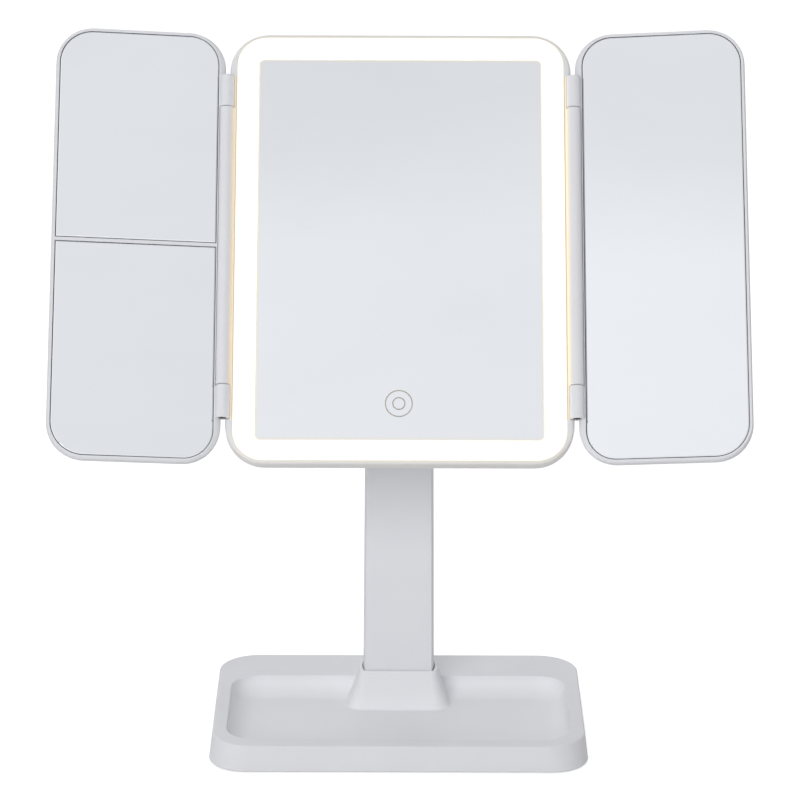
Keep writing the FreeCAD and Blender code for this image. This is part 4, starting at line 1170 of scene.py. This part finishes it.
wing = {
    "gap": 0.65,
    "width": 88.45,
    "height": 232.2,
    "corner": 19.5,
    "front": 0.8,
    "depth": 8,
    "edge": 4,
    "lip": 1.2,  # the flat of the rim round the sheet, narrower beside the hinge
    "hingeLip": 0.5,
    "lipCorner": 1.3,
    "rimDrop": 1.7,  # how far the rim falls back beyond it, and how straight
    "rimSlope": 0.5,
    "hingeMargin": 3.7,
    "outerMargin": 1.75,
    "endMargin": 2,
    "glassCorners": (17.5, 15.6),  # at the outer edge and beside the hinge
    "glassDepth": 2,
    "seatDepth": 2.3,
    "seatEdge": 0.2,
    "glassGap": 0.42,
    "tapeSunk": 0.75,
    "bevel": (0.5, 0.35),  # across and down
    "divider": 1.9,
    "dividerRoot": 0.5,
    "dividerCorner": 0.4,  # of the two sheets beside it
    "pinHole": 2.2,
    "holeDepth": 1.5,
    "capSunk": 0.25,
    "capRoot": 0.1,
    "capDish": ((0.8, 0), (0.7, 0.5)),  # shares of its radius, and how deep they lie
}


def wingSheet(side):
    # the seat of the sheet, and how far its middle is from the hinge line
    width = wing["width"] - wing["hingeMargin"] - wing["outerMargin"]
    outer, inner = wing["glassCorners"]
    corners = (outer, outer, inner, inner) if side > 0 else (inner, inner, outer, outer)
    middle = side * (wing["gap"] + wing["hingeMargin"] + width / 2)
    return (width, wing["height"] - 2 * wing["endMargin"], corners), middle


def wingRings(side):
    # out over the rim from the seat of the sheet, and round the back
    size = (wing["width"], wing["height"], wing["corner"])
    middle = (side * (wing["gap"] + wing["width"] / 2), 0)
    sheet, across = wingSheet(side)
    front, back, edge = wing["front"], wing["front"] + wing["depth"], wing["seatEdge"]
    levels = ((front + wing["seatDepth"], 0), (front + edge, 0), (front, -edge))
    rings = stack(sheet, levels, (across, 0))
    lip, hingeLip, slope = wing["lip"], wing["hingeLip"], wing["rimSlope"]
    corners = tuple(radius + wing["lipCorner"] for radius in sheet[2])
    inner = roundedRing(sheet[0] + lip + hingeLip, sheet[1] + 2 * lip, corners,
                        (across + side * (lip - hingeLip) / 2, 0))
    outer = roundedRing(*size, middle)
    for angle in quarterTurn(8):
        share = sin(angle)
        ring = [Vector(start).lerp(Vector(end), share) for start, end in zip(inner, outer)]
        fall = slope * share + (1 - slope) * (1 - cos(angle))
        rings.append((ring, front + wing["rimDrop"] * fall))
    return rings + roundOver(size, back - wing["edge"], wing["edge"], 1, middle, steps=8)


def makeWingShell(name, side, node, divided=False):
    body = loft(name, wingRings(side))
    start, end, hole = hinge["knuckleStart"], hinge["knuckleEnd"], wing["pinHole"]
    carve(body, rod("channel", hinge["relief"], -start, start))
    added = [rod("knuckle", hinge["barrelRadius"], *ends, edge=hinge["barrelEdge"])
             for ends in ((start, end), (-end, -start))]
    if divided:
        (width, _, _), across = wingSheet(side)
        front, root = wing["front"], wing["dividerRoot"]
        added.append(slab("divider", (width + 2 * root, wing["divider"], 0), front,
                          front + wing["seatDepth"] + root, (across, 0), edge=wing["seatEdge"]))
    fuse(body, *added)
    deep, sunk = end - wing["holeDepth"], end - wing["capSunk"]
    holes = [rod("hole", hole, *ends) for ends in ((-end - past, -deep), (deep, end + past))]
    carve(body, gather("holes", holes))
    # dark caps in the pin holes; their black also stands in for the shade deep in each hole, a
    # painted shade
    profile = [(hole, deep - wing["capRoot"]), (hole, sunk)]
    profile += [(hole * share, sunk - drop) for share, drop in wing["capDish"]]
    caps = [turned("cap", [(radius, way * level) for radius, level in profile])
            for way in (-1, 1)]
    settle(gather(name + "PinShadeCaps", caps), side, "dark_plastic")
    settle(body, side, "white_shell", node)


def makeWingMirror(name, side, node, part=0):
    sheet, across = wingSheet(side)
    gap, front, corner = wing["glassGap"], wing["front"], wing["dividerCorner"]
    width, height, corners = shrink(sheet, gap)
    rise = 0
    if part:
        height = height / 2 - wing["divider"] / 2 - gap
        rise = part * (wing["divider"] / 2 + gap + height / 2)
        low, high, highIn, lowIn = corners
        corners = (corner, high, highIn, corner) if part > 0 else (low, corner, corner, lowIn)
    size, middle = (width, height, corners), (across, rise)
    bevel, drop = wing["bevel"]
    back, sunk = front + wing["glassDepth"], front + wing["tapeSunk"]
    rings = stack(size, ((back, 0), (front + drop, 0), (front, bevel)), middle)
    # the black tape that holds the sheet shows in the gap round it; its black also stands in for
    # the shade in that gap, a painted shade
    tape = stack(size, ((sunk, 0), (sunk, -gap), (back, -gap), (back, 0)), middle)
    settle(loft(name + "Tape", tape, closed=True), side, "foam_tape")
    settle(loft(name, rings), side, "mirror_glass", node)


makeWingShell("leftWingShell", -1, "left_wing_shell", divided=True)
makeWingShell("rightWingShell", 1, "right_wing_shell")
makeWingMirror("leftUpperMirror", -1, "left_wing_upper_mirror", 1)
makeWingMirror("leftLowerMirror", -1, "left_wing_lower_mirror", -1)
makeWingMirror("rightMirror", 1, "right_wing_mirror")
print("wings built")


screw = {
    "Head radius": 2.2,
    "Head height": 0.8,
    "Crown share": 0.86,
    "Overlap share": 0.4,  # how much of the head's height the shank reaches into
    "Recess width": 0.62,
    "Recess length": 2.5,
    "Recess depth": 0.5,
    "Shank radius": 1.15,
    "Shank length": 6.0,
}


def makeCrossScrews():
    # a cross-recess screw on every point, facing one way
    tree, given = newPointsTree("crossScrews", screw)
    crown = calc("MULTIPLY", given["Head radius"], given["Crown share"])
    dome = put(tree, "GeometryNodeMeshCone", {
        "Vertices": 28, "Radius Top": crown,
        "Radius Bottom": given["Head radius"], "Depth": given["Head height"]})
    lowered = vectorOf(Z=calc("MULTIPLY", given["Head height"], -1.0))
    top = put(tree, "GeometryNodeTransform", {"Geometry": dome, "Translation": lowered})
    deep = calc("MULTIPLY", given["Recess depth"], 2.0)
    for across, up in (("length", "width"), ("width", "length")):
        size = vectorOf(X=given["Recess " + across], Y=given["Recess " + up], Z=deep)
        arm = put(tree, "GeometryNodeMeshCube", {"Size": size})
        top = put(tree, "GeometryNodeMeshBoolean", {"Mesh 1": top, "Mesh 2": arm},
                  operation="DIFFERENCE", solver="EXACT")
    shank = put(tree, "GeometryNodeMeshCylinder", {
        "Vertices": 14, "Radius": given["Shank radius"], "Depth": given["Shank length"]})
    middle = calc("MULTIPLY", calc("ADD", given["Shank length"], given["Head height"]), -0.5)
    overlap = calc("MULTIPLY", given["Head height"], given["Overlap share"])
    sunk = vectorOf(Z=calc("SUBTRACT", middle, overlap))
    below = put(tree, "GeometryNodeTransform", {"Geometry": shank, "Translation": sunk})
    whole = put(tree, "GeometryNodeJoinGeometry")
    for part in (top, below):
        feed(whole, {0: part})
    return setOnPoints(tree, given, whole)


crossScrews = makeCrossScrews()
plateFace = raisedBack + bracket["thickness"] + bracket["screwHeight"]
screwSets = [
    ("headScrews", "head", (0, 1, 0), "head_screws",
     [(x, coverBack, z) for x, z in rear["screws"]]),
    ("bracketScrews", "head", (0, 1, 0), "bracket_screws",
     [(x, plateFace, z) for x, z in bracket["screws"]]),
    ("baseScrews", "base", (0, 0, -1), "base_screws",
     [(*spot, cover["low"]) for spot in cover["screws"]]),
    ("stemBaseScrews", "base", (0, 0, -1), "stem_base_screws",
     [(*spot, cover["low"]) for spot in cover["stemScrews"]]),
    ("stemShellScrews", "stem", (0, 1, 0), "stem_shell_screws",
     [(0, stem["shape"]["Depth"] / 2, height) for height in stem["screwHeights"]]),
]
for name, home, facing, node, spots in screwSets:
    sizes = {**screw, "Facing": facing}
    if name == "bracketScrews":
        sizes["Head height"] = bracket["screwHeight"]
    piece = growFrom(name, crossScrews, sizes, finishes["bright_steel"], spots)
    settle(piece, home, "bright_steel", node)
print("screws built")


stoodFor = {node for piece in bpy.context.scene.objects for node in piece.get("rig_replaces", [])}
for part in frame["record"]["subparts"]:
    if part["node"] not in stoodFor:
        carried = frame["nodes"][part["node"]].data.materials
        carried.clear()
        carried.append(finishes[part["material_slot"]])
print("carried nodes finished")


studio = {
    "floorReach": 4.0,
    "floorRough": 0.9,
    "floorMottle": (6.0, 0.985),  # its scale and its darker shade
    "floorAlbedo": 0.76,
    "floorLift": 0.64,
    "floorInMirrors": 0.38,  # the share of that lift which a mirror shows
    "softLight": [  # where the daylight of the room comes from, and how much of each colour
        ((-1, 0, 0), (0.14, 0.14, 0.14)),
        ((1, 0, 0), (0.11, 0.11, 0.12)),
        ((0, 1, 0), (0.78, 0.78, 0.79)),
        ((0, 0, 1), (0.42, 0.43, 0.43)),
    ],
    "skyTop": 0.798,  # what the mirrors show: a darker upper wall over a paler lower one
    "skyTopSides": 0.24,
    "skyFoot": 0.895,
    "skyFootTilt": -0.30,
    "skyEdge": (0.802, 0.772),
    "skyEdgeLean": 0.08,
    "skyRange": (0.75, 0.96),
    "lampPlace": (-0.7, -2.55, 1.4),
    "lampAim": (0, 0, 0.2),
    "lampSize": 1.8,
    "lampWatts": 49.6,
    "lampColour": (0.985, 0.99, 1.0),
}


def seenDirectly(tree):
    # camera rays, and the mirror and glass rays that see what stands round the object
    path = put(tree, "ShaderNodeLightPath").outputs
    mirrored = calc("MAXIMUM", path["Is Glossy Ray"], path["Is Transmission Ray"])
    return path["Is Camera Ray"], mirrored


def makeFloor():
    bm = bmesh.new()
    reach, shade, lift = studio["floorReach"], studio["floorAlbedo"], studio["floorLift"]
    corners = ((-reach, -reach), (reach, -reach), (reach, reach), (-reach, reach))
    bm.faces.new([bm.verts.new((*corner, 0)) for corner in corners])
    floor = pieceFrom("floor", bm)
    material, tree, shader, spot = startMaterial("floorPaper", Roughness=studio["floorRough"])
    scale, darker = studio["floorMottle"]
    tone = mixColours(noise(spot, scale), (*(shade,) * 3, 1), (*(shade * darker,) * 3, 1))
    camera, mirrored = seenDirectly(tree)
    seen = calc("MAXIMUM", camera, calc("MULTIPLY", mirrored, studio["floorInMirrors"]))
    feed(shader, {"Base Color": tone, "Emission Strength": 1.0,
                  "Emission Color": mixColours(seen, (0, 0, 0, 1), (lift, lift, lift, 1))})
    floor.data.materials.append(material)


def makeWorld():
    world = bpy.data.worlds.new("studio")
    bpy.context.scene.world = world
    world.use_nodes = True
    tree = world.node_tree
    tree.nodes.clear()
    camera, mirrored = seenDirectly(tree)
    direction = put(tree, "ShaderNodeTexCoord").outputs["Generated"]
    parts = split(direction)
    across = parts["X"]
    high = calc("MULTIPLY_ADD", calc("ABSOLUTE", across), studio["skyTopSides"], studio["skyTop"])
    low = calc("MULTIPLY_ADD", across, studio["skyFootTilt"], studio["skyFoot"])
    level = calc("SUBTRACT", parts["Z"], calc("MULTIPLY", across, studio["skyEdgeLean"]))
    edge = remap(level, *studio["skyEdge"], interpolation_type="SMOOTHSTEP")
    grey = calc("MULTIPLY_ADD", calc("SUBTRACT", low, high), edge, high)
    darkest, palest = studio["skyRange"]
    grey = calc("MINIMUM", calc("MAXIMUM", grey, darkest), palest)
    light = (0, 0, 0)
    for towards, colour in studio["softLight"]:
        facing = vectorMaths("DOT_PRODUCT", direction, towards).outputs["Value"]
        share = calc("MAXIMUM", facing, 0.0)
        part = put(tree, "ShaderNodeVectorMath", {0: colour, "Scale": share}, operation="SCALE")
        light = vectorMaths("ADD", part, light)
    ambient, sky, white = (put(tree, "ShaderNodeBackground", {"Color": colour, "Strength": 1.0})
                           for colour in (light, grey, (1, 1, 1, 1)))
    lit = put(tree, "ShaderNodeMixShader", {0: mirrored, 1: ambient, 2: sky})
    shown = put(tree, "ShaderNodeMixShader", {0: camera, 1: lit, 2: white})
    put(tree, "ShaderNodeOutputWorld", {"Surface": shown})


def turnTowards(place, aim):
    return (Vector(aim) - Vector(place)).to_track_quat("-Z", "Y")


def makeLamp():
    lamp = bpy.data.lights.new("keyLamp", "AREA")
    lamp.shape = "SQUARE"
    lamp.size = studio["lampSize"]
    lamp.energy = studio["lampWatts"]
    lamp.color = studio["lampColour"]
    holder = addObject("keyLamp", lamp)
    holder.location = studio["lampPlace"]
    holder.rotation_euler = turnTowards(studio["lampPlace"], studio["lampAim"]).to_euler()
    holder.visible_glossy = False
    holder.visible_camera = False


view = {
    "place": (-0.0043, -1.7436, 0.7473),
    "aim": (0.0002, 0.00268, 0.1845),
    "roll": 0.2,
    "lens": 157.5,
    "sensor": 36,
    "nearest": 0.05,
}


def makeCamera():
    camera = bpy.data.cameras.new("camera")
    camera.lens = view["lens"]
    camera.sensor_width = view["sensor"]
    camera.clip_start = view["nearest"]
    holder = addObject("camera", camera)
    turn = turnTowards(view["place"], view["aim"]).to_matrix().to_4x4()
    roll = Matrix.Rotation(radians(view["roll"]), 4, "Z")
    holder.matrix_world = Matrix.Translation(view["place"]) @ turn @ roll
    bpy.context.scene.camera = holder


makeFloor()
makeWorld()
makeLamp()
makeCamera()
bpy.context.scene.view_settings.view_transform = "Standard"
print("studio built")
